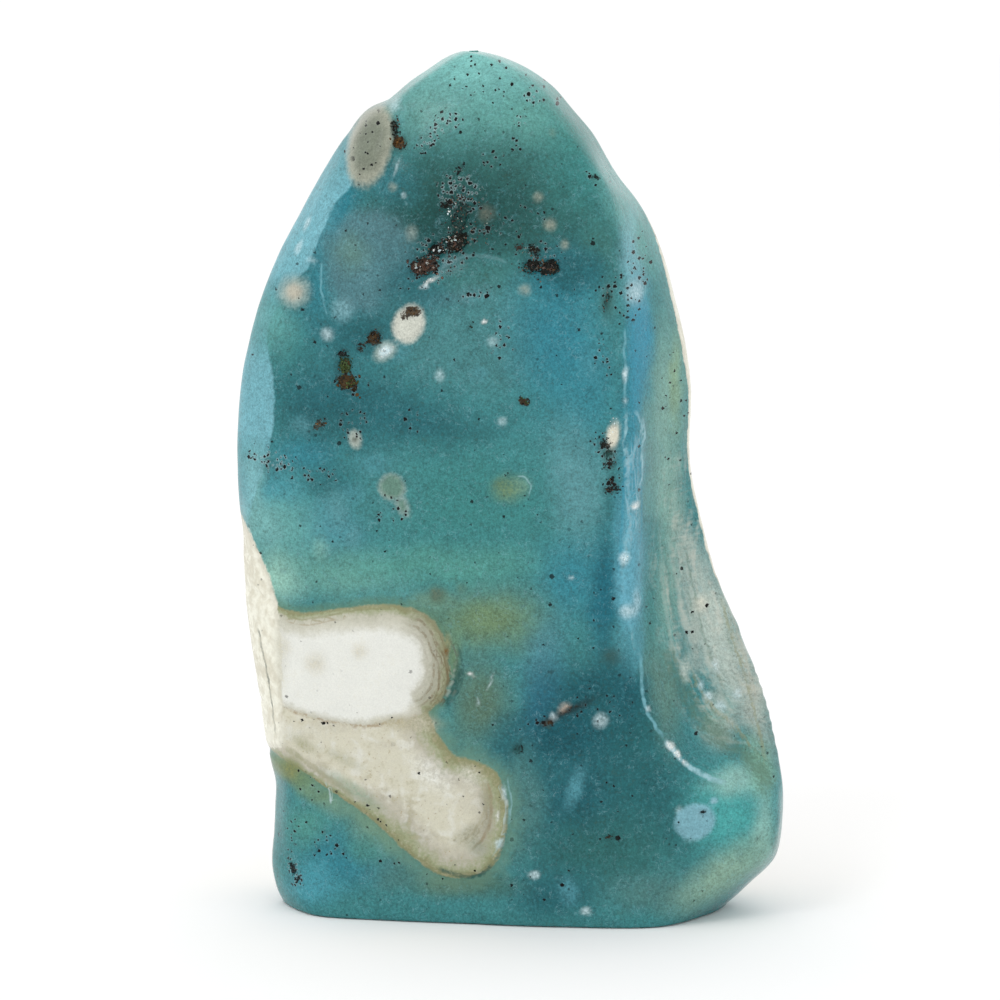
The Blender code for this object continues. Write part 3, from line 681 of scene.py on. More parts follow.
# Hollows: the floor's tone, the depth in millimetres and a spot's numbers.
PITS = pits(
    (Tone.PINK_BROWN, 0.6, -8.5, 65.0, 1.45, 0.89, 8),
    (Tone.UMBER, 0.45, -7.2, 66.6, 0.87, 0.69, 10),
    (Tone.UMBER, 0.5, -5.5, 67.3, 1.26, 0.89, 25),
    (Tone.INK, 0.3, -5.0, 69.8, 0.77, 1.58, -18),
    (Tone.UMBER, 0.3, -6.2, 71.0, 0.68, 0.39, 10),
    (Tone.UMBER, 0.5, 2.0, 65.1, 0.97, 0.69, -4),
    (Tone.UMBER, 0.5, 3.6, 65.0, 1.06, 0.79, 4),
    (Tone.UMBER, 0.35, 2.1, 66.7, 0.68, 0.44, -25),
    (Tone.PINK_BROWN, 0.2, 0.8, 67.0, 0.48, 0.3),
    (Tone.UMBER, 0.45, -11.4, 78.3, 0.34, 0.89, 4),
    (Tone.OCHRE, 0.4, -10.9, 76.8, 0.68, 0.64, -20),
    (Tone.BROWN, 0.3, -9.8, 60.6, 1.06, 0.64, 12),
    (Tone.RUST, 0.45, -13.4, 58.0, 0.73, 0.69, 30),
    (Tone.RUST, 0.35, -14.7, 57.1, 0.39, 0.39),
    (Tone.BLACK, 0.4, -16.6, 56.4, 0.68, 0.35, 15),
    (Tone.FERN, 0.5, -16.3, 55.3, 0.77, 0.89, -10),
    (Tone.RUST, 0.5, -16.1, 53.6, 1.16, 0.79, -35),
    (Tone.RUST, 0.5, -16.0, 53.3, 0.77, 0.49, -35),
    (Tone.DUST, 0.2, -18.8, 49.4, 0.77, 0.39, 40),
    (Tone.RUST, 0.25, 1.2, 52.0, 0.68, 0.44, -32),
    (Tone.UMBER, 0.35, 8.9, 47.9, 0.39, 0.69, 20),
    (Tone.POND, 0.3, 9.5, 46.9, 0.48, 0.59),
    (Tone.UMBER, 0.35, 9.6, 45.9, 0.63, 0.49, 25),
    (Tone.UMBER, 0.3, 9.7, 44.1, 0.34, 0.79),
    (Tone.UMBER, 0.3, 9.6, 43.5, 0.77, 0.39),
    (Tone.POND, 0.25, 9.2, 61.8, 0.29, 1.08, -12),
    (Tone.MOSS_BROWN, 0.2, -4.1, 59.2, 0.27, 0.49, -25),
    (Tone.BLACK, 0.4, 18.8, 11.4, 0.33, 0.26),
    (Tone.BROWN, 0.2, 9.6, 9.1, 0.39, 0.3),
    (Tone.BLACK, 0.2, -21.8, 4.5, 0.39, 0.79, 20),
    (Tone.BLACK, 0.2, -21.3, 3.5, 0.29, 0.39),
    (Tone.BLACK, 0.2, -5.0, 74.5, 0.48, 0.26, 30),
    (Tone.BLACK, 0.2, 8.0, 73.6, 0.31, 0.2),
    (Tone.BLACK, 0.25, 0.6, 17.9, 0.33, 0.45, 25),
    (Tone.BROWN, 0.15, 3.4, 20.4, 0.58, 0.3, 15),
    (Tone.BLACK, 0.2, 0.6, 17.9, 0.48, 0.3, 35),
)

VEINS = (
    Vein(Tone.PALE_ICE, 0.2, ((-8.4, 63.5), (-6.9, 64.9), (-5.0, 65.9), (-3.2, 66.2), (-1.8, 66.0),
                              (-0.1, 65.4)), 0.16, 0.03),
    Vein(Tone.ICE, 0.1, ((-18.4, 65.4), (-18.6, 63.6), (-18.4, 61.7), (-18.0, 59.9)), 0.55, 0.05),
    Vein(Tone.PALE_ICE, 0.09, ((0.5, 44.8), (1.3, 44.7), (1.8, 43.8), (1.6, 42.7)), 0.55, 0),
    Vein(Tone.ICE, 0.12, ((11.0, 59.2), (10.9, 56.9), (11.1, 54.6), (10.8, 52.0)), 0.7, 0),
    Vein(Tone.PALE_ICE, 0.15, ((11.1, 51.3), (11.1, 49.3), (10.8, 47.9), (11.1, 46.4), (11.2, 44.4),
                               (11.5, 42.2)), 0.9, 0.06),
    Vein(Tone.PALE_ICE, 0.13, ((11.8, 51.2), (12.5, 50.1), (12.6, 48.9), (12.1, 47.7), (11.6, 46.4),
                               (11.4, 44.9)), 0.85, 0.05),
    Vein(Tone.PALE_ICE, 0.13, ((12.7, 50.4), (13.0, 48.7), (12.7, 47.1), (12.7, 45.3),
                               (12.4, 43.1)), 0.75, 0.05),
    Vein(Tone.PALE_ICE, 0.15, ((11.8, 41.2), (11.4, 39.5), (11.1, 38.0), (11.0, 36.8)), 0.7, 0.06),
    Vein(Tone.ICE, 0.11, ((12.4, 40.8), (11.9, 39.0), (11.5, 37.4), (11.2, 36.0)), 0.6, 0.04),
    Vein(Tone.ICE, 0.14, ((11.2, 35.5), (11.0, 33.6), (11.3, 31.6)), 0.55, 0.05),
    Vein(Tone.ICE, 0.16, ((11.4, 30.9), (11.8, 29.3), (12.4, 27.6)), 0.5, 0.05),
    Vein(Tone.ICE, 0.17, ((12.3, 28.2), (12.7, 25.7), (12.8, 23.2), (13.3, 21.6), (14.0, 20.3),
                          (15.0, 18.8)), 0.85, 0.1),
    Vein(Tone.PALE_ICE, 0.24, ((14.9, 19.0), (15.8, 17.7), (17.0, 16.4), (18.4, 15.4), (19.7, 14.7),
                               (21.3, 14.1)), 0.95, 0.14),
    Vein(Tone.OLIVE_GREY, 0.8, ((15.4, 27.7), (16.0, 25.4), (17.2, 22.8), (18.9, 20.0), (21.8, 17.3),
                                (24.6, 15.1), (25.6, 12.1)), 0.6, -0.1),
    Vein(Tone.OLIVE_TAN, 0.16, ((20.7, 32.1), (21.8, 28.2), (22.8, 25.2), (23.8, 21.7), (24.7, 18.3),
                                (25.3, 15.3)), 0.5, -0.05),
    Vein(Tone.BEIGE, 0.14, ((21.4, 32.1), (22.5, 28.2), (23.6, 24.7), (24.5, 21.2)), 0.4, 0.04),
    Vein(Tone.DUST, 0.1, ((-25.4, 28.9), (-24.7, 26.0), (-24.1, 22.5), (-23.4, 17.5)), 0.75, 0),
    Vein(Tone.INK, 0.34, ((-5.2, 26.4), (-5.4, 24.8), (-5.8, 23.2), (-6.6, 21.6)), 0.75, -0.15),
    Vein(Tone.SILVER, 0.09, ((-5.6, 26.2), (-5.9, 24.4), (-6.4, 22.8)), 0.6, 0.03),
    Vein(Tone.POND, 0.22, ((-7.4, 5.7), (-5.8, 5.1), (-4.3, 4.8), (-2.9, 5.2),
                           (-1.9, 6.3)), 0.8, -0.15),
    Vein(Tone.TAN, 0.17, ((-2.4, 14.7), (-2.0, 12.6), (-2.2, 10.4), (-2.9, 8.7), (-4.1, 7.6)), 0.8, 0),
    Vein(Tone.FROST, 0.1, ((-1.3, 14.7), (-0.6, 12.4), (-0.9, 9.6), (-1.7, 7.4)), 0.5, 0.04),
    Vein(Tone.OLIVE_TAN, 0.11, ((-23.0, 30.7), (-21.0, 30.1), (-19.1, 30.3), (-16.7, 30.9),
                                (-13.8, 31.4), (-10.9, 31.5)), 0.7, 0),
    Vein(Tone.TAN, 0.08, ((-22.5, 29.9), (-20.6, 29.5), (-18.4, 29.9), (-15.9, 30.5)), 0.45, 0),
    Vein(Tone.FROST, 0.1, ((-18.5, 14.0), (-18.1, 12.9), (-17.9, 11.6)), 0.6, 0.03),
    Vein(Tone.OLIVE_TAN, 0.35, ((-22.7, 17.1), (-20.6, 15.9), (-17.6, 13.8), (-15.5, 12.4)), 0.6, 0),
    Vein(Tone.PEARL, 0.18, ((14.7, 36.4), (15.1, 32.1), (15.8, 28.2), (17.0, 24.6)), 0.28, 0.04),
    Vein(Tone.PEARL, 0.24, ((15.7, 38.0), (16.4, 33.1), (17.4, 29.1), (18.4, 25.8)), 0.4, 0.05),
    Vein(Tone.PEARL, 0.26, ((16.8, 38.0), (17.8, 33.1), (18.8, 28.2), (20.3, 23.2),
                            (22.4, 19.3)), 0.4, 0.05),
    Vein(Tone.PEARL, 0.22, ((18.4, 36.0), (19.5, 31.1), (20.9, 26.2), (22.8, 21.2)), 0.35, 0.05),
    Vein(Tone.GREY_TEAL, 0.16, ((15.2, 36.4), (15.7, 32.1), (16.5, 28.2), (17.8, 24.4)), 0.45, -0.05),
    Vein(Tone.OLIVE_GREY, 0.16, ((17.2, 36.8), (18.2, 32.1), (19.3, 27.2), (21.3, 22.2)), 0.45, -0.05),
    Vein(Tone.OLIVE_TAN, 0.12, ((17.6, 25.4), (18.6, 23.0), (20.1, 21.1), (22.4, 18.9),
                                (24.6, 16.1)), 0.6, -0.04),
    Vein(Tone.SEAM, 0.12, ((-3.3, 14.9), (-2.6, 13.2), (-2.9, 11.2), (-3.8, 9.4), (-5.4, 8.2)), 0.7, 0),
    Vein(Tone.GREY_TEAL, 0.14, ((-1.8, 6.3), (-0.9, 7.9), (-0.4, 10.4), (-0.5, 12.8),
                                (-1.3, 14.7)), 0.6, -0.06),
    Vein(Tone.UMBER_LINE, 0.12, ((-7.3, 28.2), (-6.6, 26.7), (-6.3, 25.0), (-6.5, 23.2),
                                 (-7.3, 21.8)), 0.75, -0.03),
    Vein(Tone.UMBER_LINE, 0.1, ((-8.0, 27.6), (-7.3, 26.2), (-7.1, 24.7), (-7.4, 23.0),
                                (-8.2, 21.8)), 0.6, -0.03),
    Vein(Tone.DUST, 0.12, ((-6.1, 28.7), (-5.4, 27.0), (-5.4, 25.0), (-5.7, 23.0),
                           (-6.4, 21.4)), 0.6, -0.05),
    Vein(Tone.FROST, 0.1, ((11.2, 47.9), (11.4, 44.9), (11.3, 42.0), (11.6, 39.0),
                           (11.4, 36.0)), 0.55, 0.03),
    Vein(Tone.FROST, 0.08, ((12.0, 48.9), (11.9, 45.7), (12.2, 42.2), (12.0, 39.0)), 0.45, 0.02),
    Vein(Tone.PALE_ICE, 0.12, ((10.7, 36.0), (11.0, 33.1), (11.6, 30.1), (12.1, 27.2)), 0.5, 0.03),
    Vein(Tone.STREAM, 0.14, ((10.8, 49.8), (10.9, 45.9), (10.8, 42.0), (10.6, 38.0),
                             (10.4, 34.1)), 0.55, -0.04),
    Vein(Tone.STREAM, 0.1, ((12.5, 48.9), (12.5, 44.9), (12.7, 41.0), (12.6, 37.0)), 0.5, -0.03),
    Vein(Tone.INK, 0.12, ((-5.4, 28.2), (-4.8, 26.0), (-5.1, 23.8), (-6.0, 22.0)), 0.55, -0.05),
    Vein(Tone.PALE_ICE, 0.09, ((-0.5, 15.1), (-0.0, 12.4), (-0.5, 9.6), (-1.9, 7.0)), 0.5, 0.02),
)

# The long crease between the face and the scoop.
CREASE = rounded((
    (9.6, 74.0), (10.1, 69.8), (10.6, 63.8), (10.9, 58.0), (11.1, 53.0), (11.4, 48.6),
    (11.9, 44.6), (11.7, 41.0), (11.2, 37.2), (11.2, 32.6), (11.7, 29.2), (12.4, 26.4),
    (13.0, 23.6), (14.1, 21.1), (15.5, 18.3), (17.4, 16.2), (19.8, 14.7), (22.4, 14.0),
))

# The white bodies, as closed outlines of (x, z).
UPPER_BODY = rounded((
    (-30.0, 32.3), (-23.2, 31.1), (-20.8, 30.7), (-16.8, 31.3), (-12.9, 31.9), (-10.0, 31.6),
    (-7.8, 30.5), (-6.5, 28.3), (-6.1, 26.3), (-6.3, 24.1), (-7.1, 22.3), (-8.6, 21.1),
    (-11.0, 20.3), (-14.9, 19.7), (-18.9, 20.1), (-23.3, 21.1), (-30.0, 21.8),
), closed=True)
LOWER_BODY = rounded((
    (-30.0, 26.0), (-23.3, 25.0), (-18.9, 24.0), (-14.9, 24.0), (-11.0, 24.2), (-8.9, 22.6),
    (-7.3, 19.2), (-5.6, 17.1), (-3.3, 16.5), (-1.5, 15.3), (-0.6, 13.3), (-0.3, 11.0),
    (-0.9, 7.7), (-2.1, 5.7), (-4.3, 4.7), (-7.1, 4.9), (-9.8, 6.6), (-11.8, 8.4), (-14.4, 10.7),
    (-18.1, 13.0), (-21.1, 14.8), (-24.8, 16.2), (-30.0, 17.0),
), closed=True)
# The cream facet on the left, between the silhouette and the polished face.
LEFT_FACET = np.array((
    (-30.0, 40.6), (-27.0, 40.0), (-26.0, 38.5), (-24.9, 36.5), (-23.9, 34.0), (-23.3, 32.0),
    (-23.1, 31.1), (-22.7, 26.6), (-22.7, 22.6), (-22.6, 18.6), (-22.9, 16.8), (-24.4, 16.2),
    (-26.0, 14.6), (-30.0, 13.0),
))

# The inner edge of the ground bevel down the left side, and by height how strongly the painted light on
# the bevel shows: an ice-blue band laid on where the bevel would catch the light.
LEFT_BEVEL = rounded((
    (-11.2, 81.1), (-12.7, 78.3), (-14.4, 75.4), (-15.7, 72.6), (-17.1, 71.0), (-18.0, 69.2),
    (-18.9, 67.1), (-19.9, 64.5), (-21.2, 63.4), (-22.8, 61.0), (-24.0, 58.2), (-23.7, 55.6),
    (-23.3, 53.4), (-23.4, 49.0), (-24.3, 45.4), (-25.2, 42.4), (-26.0, 39.5),
))
BEVEL_PAINTED_LIGHT = (
    (38.0, 0.0), (41.0, 0.45), (46.0, 0.35), (48.5, 0.80), (55.0, 0.75), (57.5, 0.25), (61.0, 0.15),
    (64.0, 0.75), (70.0, 0.90), (75.0, 0.60), (80.0, 0.0),
)

# How far the cream matrix comes onto the face from each edge, in (height, mm) knots. Below zero
# the gel runs on round the edge by that much.
LEFT_WRAP = (
    (0.0, -4.0), (8.0, -3.0), (11.5, -1.2), (13.0, 0.4), (14.6, 2.2), (18.6, 3.1), (22.6, 3.3),
    (26.6, 3.9), (31.0, 4.2), (34.0, 3.6), (36.5, 2.4), (38.4, 0.8), (40.0, -0.6), (45.0, -3.0),
    (55.0, -5.0), (65.0, -6.0), (75.0, -8.0), (80.0, -12.0), (86.0, -20.0),
)
RIGHT_WRAP = (
    (0.0, -3.0), (4.0, -1.2), (8.0, 0.2), (12.0, 0.5), (16.0, 0.9), (20.0, 1.6), (30.0, 1.6),
    (40.0, 1.2), (50.0, 1.1), (58.0, 1.7), (64.0, 1.4), (69.0, 0.5), (72.0, -1.0), (78.0, -8.0),
    (86.0, -16.0),
)
BACK_EDGE_OF_GEL = 3.0  # where gel turns to matrix on the sawn base, as y

# How thickly black specks lie: the share of the places filled, then a spot's numbers.
SPECKLED = (
    (0.95, -6.3, 78.5, 1.94, 1.08, 15),
    (0.95, -8.2, 76.9, 1.55, 0.99, 20),
    (0.95, 1.6, 81.4, 1.36, 1.28, 20),
    (0.8, 0.9, 78.9, 0.68, 0.69),
    (0.4, 0.6, 76.5, 0.68, 0.89),
    (0.5, -1.4, 74.9, 1.16, 1.18, 20),
    (0.95, -4.9, 71.9, 2.52, 2.56),
    (0.55, -2.9, 68.0, 2.9, 1.18, -10),
    (0.3, 0.7, 69.1, 2.52, 2.17),
    (0.75, -7.0, 66.6, 3.48, 2.17, 15),
    (0.75, -3.6, 62.4, 1.74, 0.59),
    (0.5, -0.4, 58.7, 1.55, 2.56, -30),
    (0.45, -8.0, 64.1, 2.9, 1.38, 20),
    (0.6, 2.7, 66.0, 2.52, 1.58),
    (0.95, -23.6, 45.7, 2.52, 1.48, -10),
    (0.5, -20.2, 44.5, 3.87, 0.89),
    (0.4, -11.3, 41.2, 2.13, 1.38),
    (0.4, -15.5, 49.4, 1.74, 1.77),
    (0.25, -9.7, 49.3, 1.16, 1.97),
    (0.25, -21.5, 7.8, 2.71, 2.96, -10),
    (0.35, -18.4, 7.2, 2.32, 1.38, -15),
    (0.95, -21.8, 4.5, 0.87, 1.58, 20),
    (0.2, -19.8, 13.4, 2.13, 1.58, -30),
    (0.3, -13.6, 10.8, 2.52, 0.79, -30),
    (0.3, 10.6, 62.1, 2.52, 2.56),
    (0.4, 12.4, 65.1, 1.36, 3.35),
    (0.5, 8.7, 56.5, 1.16, 1.77),
    (0.5, 9.3, 47.3, 1.55, 2.56),
    (0.4, 9.7, 43.9, 1.16, 1.18),
    (0.2, -1.2, 83.0, 5.81, 2.96),
    (0.45, 4.8, 81.0, 0.97, 1.38),
    (0.35, 7.7, 73.7, 1.16, 0.99),
    (0.12, -14.7, 77.0, 2.32, 4.34, -14),
    (0.3, -15.7, 53.3, 2.13, 2.56),
    (0.3, -20.6, 19.5, 2.9, 0.99),
    (0.25, -14.7, 20.1, 3.87, 0.99),
    (0.6, -8.9, 15.3, 0.77, 1.18),
    (0.3, -3.1, 12.4, 1.36, 3.94),
    (0.15, 4.6, 20.9, 4.84, 1.38, 20),
    (0.1, 8.5, 22.2, 3.87, 2.56),
    (0.05, 4.6, 4.5, 5.81, 2.96),
    (0.04, 13.3, 12.4, 5.81, 5.92),
    (0.15, -8.0, 6.0, 5.81, 1.58),
    (0.1, 16.2, 48.9, 1.94, 7.89),
    (0.04, 18.2, 30.1, 2.9, 7.89),
)
STRAY_SPECKS = 0.014

SCOOP_FOOT = 14.0  # the scoop's ribs show between these heights
SCOOP_TOP = 52.0

OUTSIDE = -9.0  # a depth that lies outside everything


@dataclass
class Chart:
    """Where each point of the skin lies, in millimetres, and what the stone is there.

    Attributes:
        points: Places, one row each.
        to_left: How far along the skin the left edge is, negative behind it.
        to_right: The same for the right edge.
        facing: 1 on the polished face, falling to 0 round its edges.
    """

    points: np.ndarray
    to_left: np.ndarray
    to_right: np.ndarray
    facing: np.ndarray

    @property
    def x(self) -> np.ndarray:
        """Places across the face."""
        return self.points[:, 0]

    @property
    def z(self) -> np.ndarray:
        """Heights over the base."""
        return self.points[:, 2]

    def wander(self, size: float, amount: float) -> np.ndarray:
        """A smooth random push for each point.

        Args:
            size: How broad the waves of the push are.
            amount: How far it goes at most.

        Returns:
            One row of x, y and z for each point.
        """
        near = (self.points / size).tolist()
        return amount * np.array([noise.noise_vector(Vector(place)) for place in near])

    def matrix_depth(self) -> np.ndarray:
        """How many millimetres inside the cream matrix each point lies, negative in the gel.

        Returns:
            One depth for each point.
        """
        left = by_height(LEFT_WRAP, self.z) - self.to_left
        facet = depth_inside(self.x, self.z, LEFT_FACET)
        ahead = self.to_left >= 0
        left = np.where(ahead, np.maximum(left, facet), left)
        right = by_height(RIGHT_WRAP, self.z) - self.to_right
        side = np.where(ahead, np.maximum(left, right), np.minimum(left, right))
        return np.where(self.z < 0.01, self.points[:, 1] - BACK_EDGE_OF_GEL, side)


@dataclass
class Relief:
    """The low relief that the skin adds to the solid, in millimetres.

    Attributes:
        chart: Where the skin's points lie.
        ledge: How far the white bodies stand out.
        groove: How deep the line round them is.
        step: How deep the growth line inside the upper body is.
        seam: How deep the line between the bodies is.
        ridge: How high the bead along the crease is.
        rib_pitch: How far apart the scoop's ribs are.
        rib_height: How high they are.
        lumps: The size and height of the back's lumps, from broad to fine.
    """

    chart: Chart
    ledge: float = 0.10
    groove: float = 0.16
    step: float = 0.14
    seam: float = 0.12
    ridge: float = 0.12
    rib_pitch: float = 0.85
    rib_height: float = 0.05
    lumps: tuple = ((3.6, 0.42), (1.5, 0.20), (0.75, 0.09))

    def pits(self) -> np.ndarray:
        """The depth of the unpolished hollows, with their broken floors.

        Returns:
            One height for each point, below zero.
        """
        sunk = np.zeros(len(self.chart.points))
        rough = self.chart.wander(0.45, 0.20)[:, 1]
        for pit in PITS:
            inside = 1 - pit.spot.reach(self.chart.x, self.chart.z)
            bowl = smooth_step(inside * 2.2 + 0.15)
            sunk = np.maximum(sunk, pit.depth * bowl + rough * (bowl > 0.6))
        return -sunk

    def nodules(self) -> np.ndarray:
        """The domes of the cut nodules, with a fine moat round each.

        Returns:
            One height for each point.
        """
        height = np.zeros(len(self.chart.points))
        for nodule in NODULES:
            away = nodule.spot.reach(self.chart.x, self.chart.z)
            height += nodule.rise * smooth_step((1.06 - away) / 0.5)
            height -= 0.4 * nodule.rise * bell(away, 0.10, 1.1)
        return height

    def bodies(self) -> np.ndarray:
        """The ledge and the groove round the white bodies, and the seam between them.

        Returns:
            One height for each point.
        """
        x, z = self.chart.x, self.chart.z
        upper = depth_inside(x, z, UPPER_BODY)
        lower = depth_inside(x, z, LOWER_BODY)
        deepest = np.maximum(upper, lower)
        ledge = self.ledge * smooth_step(deepest / 0.6)
        groove = self.groove * bell(deepest, 0.28, -0.25)
        step = self.step * bell(upper, 0.35, 1.1) * smooth_step((x + 12) / 4)
        seam = self.seam * bell(upper, 0.35) * (lower > -0.6)
        return ledge - groove - step - seam

    def veins(self) -> np.ndarray:
        """The raised and sunk lines.

        Returns:
            One height for each point.
        """
        height = np.zeros(len(self.chart.points))
        for vein in VEINS:
            if vein.rise:
                offset, passed = vein.beside(self.chart.x, self.chart.z)
                shape = both_ends(passed, 0.12) * bell(offset, max(vein.half_width, 0.25))
                height += vein.rise * shape
        return height

    def crease(self) -> np.ndarray:
        """The ragged edge of the long crease, and the ribs of the scoop beside it.

        Returns:
            One height for each point.
        """
        z = self.chart.z
        offset, passed = beside_line(self.chart.x, z, CREASE)
        ridge = self.ridge * smooth_step(passed / 0.45) * smooth_step((1 - passed) / 0.1)
        ragged = 1 + self.chart.wander(1.1, 1.2)[:, 0]
        height = ridge * ragged * bell(offset, 0.42)
        height += 0.05 * self.chart.wander(0.5, 1.0)[:, 2] * bell(offset, 0.8)
        span = smooth_step((z - SCOOP_FOOT) / 5) * smooth_step((SCOOP_TOP - z) / 12)
        across = smooth_step((offset - 1.5) / 3) * smooth_step(self.chart.to_right / 1.5)
        wave = np.sin(tau * (offset + self.chart.wander(4.0, 0.8)[:, 0]) / self.rib_pitch)
        return height + self.rib_height * wave * span * across

    def polish(self) -> np.ndarray:
        """The faint waves that hand polishing leaves."""
        return self.chart.wander(5.5, 0.075)[:, 1] + self.chart.wander(1.6, 0.018)[:, 2]

    def rough_back(self) -> np.ndarray:
        """Botryoidal lumps and grains of the unpolished matrix.

        Returns:
            One height for each point.
        """
        height = np.zeros(len(self.chart.points))
        share = smooth_step((self.chart.matrix_depth() - 0.4) / 2.5) * (1 - self.chart.facing)
        warped = self.chart.points + self.chart.wander(6.0, 2.2)
        for size, rise in self.lumps:
            for k in np.flatnonzero(share > 0):
                away = noise.voronoi(Vector(warped[k] / size))[0][0]
                height[k] += rise * (max(0.0, 1 - away * away) ** 0.5 - 0.75)
        return height * share

    def height(self) -> np.ndarray:
        """All the relief together, faded out where the stone stands."""
        face = self.pits() + self.nodules() + self.bodies() + self.veins() + self.crease()
        foot = smooth_step((self.chart.z - 0.3) / 1.2)
        return (face * self.chart.facing + self.polish() + self.rough_back()) * foot


class Tints:
    """What the stone's finish needs to know at each point of the skin."""

    def __init__(self, chart: Chart) -> None:
        """Keeps the chart, and the places at which the clouds are read."""
        self.chart = chart
        drift = chart.wander(6.5, 0.8) + chart.wander(1.9, 0.4)
        self.cloud_x = chart.x + drift[:, 0]
        self.cloud_z = chart.z + drift[:, 2]
        fray = chart.wander(0.8, 0.16)
        self.spot_x = chart.x + fray[:, 0]
        self.spot_z = chart.z + fray[:, 2]

    def gel(self) -> np.ndarray:
        """The gel's own colour, cloud laid over cloud.

        Returns:
            One colour for each point.
        """
        colour = np.tile(Tone.BODY_BLUE.pigment, (len(self.chart.points), 1))
        for one in CLOUDS:
            share = one.cover(self.cloud_x, self.cloud_z)[:, None]
            colour = colour + (one.tone.pigment - colour) * share
        return np.hstack([colour, np.ones((len(colour), 1))])

    def overlay(self) -> np.ndarray:
        """The small soft spots and the painted glints, as a colour and how much of it shows.

        Returns:
            One colour for each point, the share as its last part.
        """
        colour = np.zeros((len(self.chart.points), 3))
        cover = np.zeros(len(self.chart.points))
        # The soft spots first, then the painted glints of light.
        for one in BLOOMS + PAINTED_GLINTS:
            share = one.cover(self.spot_x, self.spot_z) * self.chart.facing
            total = share + cover * (1 - share)
            ratio = np.divide(share, total, out=np.zeros_like(share), where=total > 0)[:, None]
            colour = colour + (one.tone.pigment - colour) * ratio
            cover = total
        return np.hstack([colour, cover[:, None]])

    def nearest(self, spots: list[tuple]) -> tuple[np.ndarray, np.ndarray]:
        """The spot that each point is deepest in.

        Args:
            spots: Each spot with its colours, one row for every point or one for all, and how
                broad the fade at its edge is.

        Returns:
            How deep each point lies in its nearest spot, in widths of the fade, and that spot's
            colour there.
        """
        depth = np.full(len(self.chart.points), OUTSIDE)
        colour = np.zeros((len(self.chart.points), 4))
        for spot, own, edge in spots:
            inside = spot.depth(self.chart.x, self.chart.z) / edge
            deeper = inside > depth
            depth = np.where(deeper, inside, depth)
            colour[:, :3] = np.where(deeper[:, None], own, colour[:, :3])
        colour[:, 3] = 1
        hidden = self.chart.facing < 0.05
        return np.where(hidden, OUTSIDE, depth), colour

    def nodules(self) -> tuple[np.ndarray, np.ndarray]:
        """Depth and colour of the nodules, from rim to core.

        Returns:
            As from `nearest`.
        """
        spots = []
        for nodule in NODULES:
            away = nodule.spot.reach(self.spot_x, self.spot_z)
            share = smooth_step((nodule.core_size + 0.25 - away) / 0.5)[:, None]
            own = nodule.rim.pigment + (nodule.core.pigment - nodule.rim.pigment) * share
            spots.append((nodule.spot, own, nodule.edge))
        return self.nearest(spots)

    def pits(self) -> tuple[np.ndarray, np.ndarray]:
        """Depth and colour of the unpolished pits."""
        return self.nearest([(pit.spot, pit.floor.pigment[None], 1.0) for pit in PITS])

    def veins(self) -> tuple[np.ndarray, np.ndarray]:
        """How far each point is from the nearest vein, in half widths, and that vein's colour.

        Returns:
            The signed distance, and the colour with the vein's strength as its last part.
        """
        ratio = np.full(len(self.chart.points), -OUTSIDE)
        colour = np.zeros((len(self.chart.points), 4))
        for vein in VEINS:
            offset, passed = vein.beside(self.spot_x, self.spot_z)
            own = offset / vein.half_width
            closer = np.abs(own) < np.abs(ratio)
            ratio = np.where(closer, own, ratio)
            near = smooth_step((vein.half_width * 1.6 + 0.55 - np.abs(offset)) / 0.5)
            strength = vein.strength * both_ends(passed, 0.10) * near * self.chart.facing
            tint = np.hstack([np.tile(vein.tone.pigment, (len(near), 1)), strength[:, None]])
            colour = np.where(closer[:, None], tint, colour)
        return ratio, colour

    def scoop(self) -> tuple[np.ndarray, np.ndarray]:
        """How far each point lies beyond the crease, and how strongly the scoop's ribs show.

        Returns:
            The distance and the share.
        """
        z = self.chart.z
        offset, _ = beside_line(self.spot_x, self.spot_z, CREASE)
        span = smooth_step((z - SCOOP_FOOT) / 5) * smooth_step((SCOOP_TOP - z) / 16)
        across = smooth_step((offset - 1.8) / 2.5) * smooth_step((self.chart.to_right + 1) / 1.5)
        return offset, span * across * self.chart.facing

    def speckle(self) -> np.ndarray:
        """The share of places that hold a black speck.

        Returns:
            One share for each point.
        """
        share = np.full(len(self.chart.points), STRAY_SPECKS)
        for most, *place in SPECKLED:
            away = Spot(*place).reach(self.cloud_x, self.cloud_z)
            share = np.maximum(share, most * smooth_step((1.25 - away) / 0.8))
        return share

    def bevel(self) -> tuple[np.ndarray, np.ndarray]:
        """How far each point lies on the left bevel, and how strongly the painted light on the bevel
        shows there.
        """
        offset, _ = beside_line(self.chart.x, self.chart.z, LEFT_BEVEL)
        return -offset, by_height(BEVEL_PAINTED_LIGHT, self.chart.z)

    def bodies(self) -> tuple[np.ndarray, np.ndarray]:
        """How deep each point lies in the upper and in the lower white body.

        Returns:
            The two depths in millimetres.
        """
        hidden = np.where(self.chart.facing > 0.02, 0.0, OUTSIDE)
        upper = depth_inside(self.spot_x, self.spot_z, UPPER_BODY)
        lower = depth_inside(self.spot_x, self.spot_z, LOWER_BODY)
        to_left = smooth_step((-12 - self.chart.x) / 5)
        upper = upper + 0.3 * to_left * smooth_step(upper / 0.8)
        lower = lower + 1.6 * to_left * smooth_step(lower / 0.8)
        return upper + hidden, lower + hidden

    def ringed(self) -> np.ndarray:
        """How clearly the upper body's growth rings show: only at its rounded right end."""
        return smooth_step((self.chart.x + 11.5) / 3) * smooth_step((self.chart.z - 20) / 3)

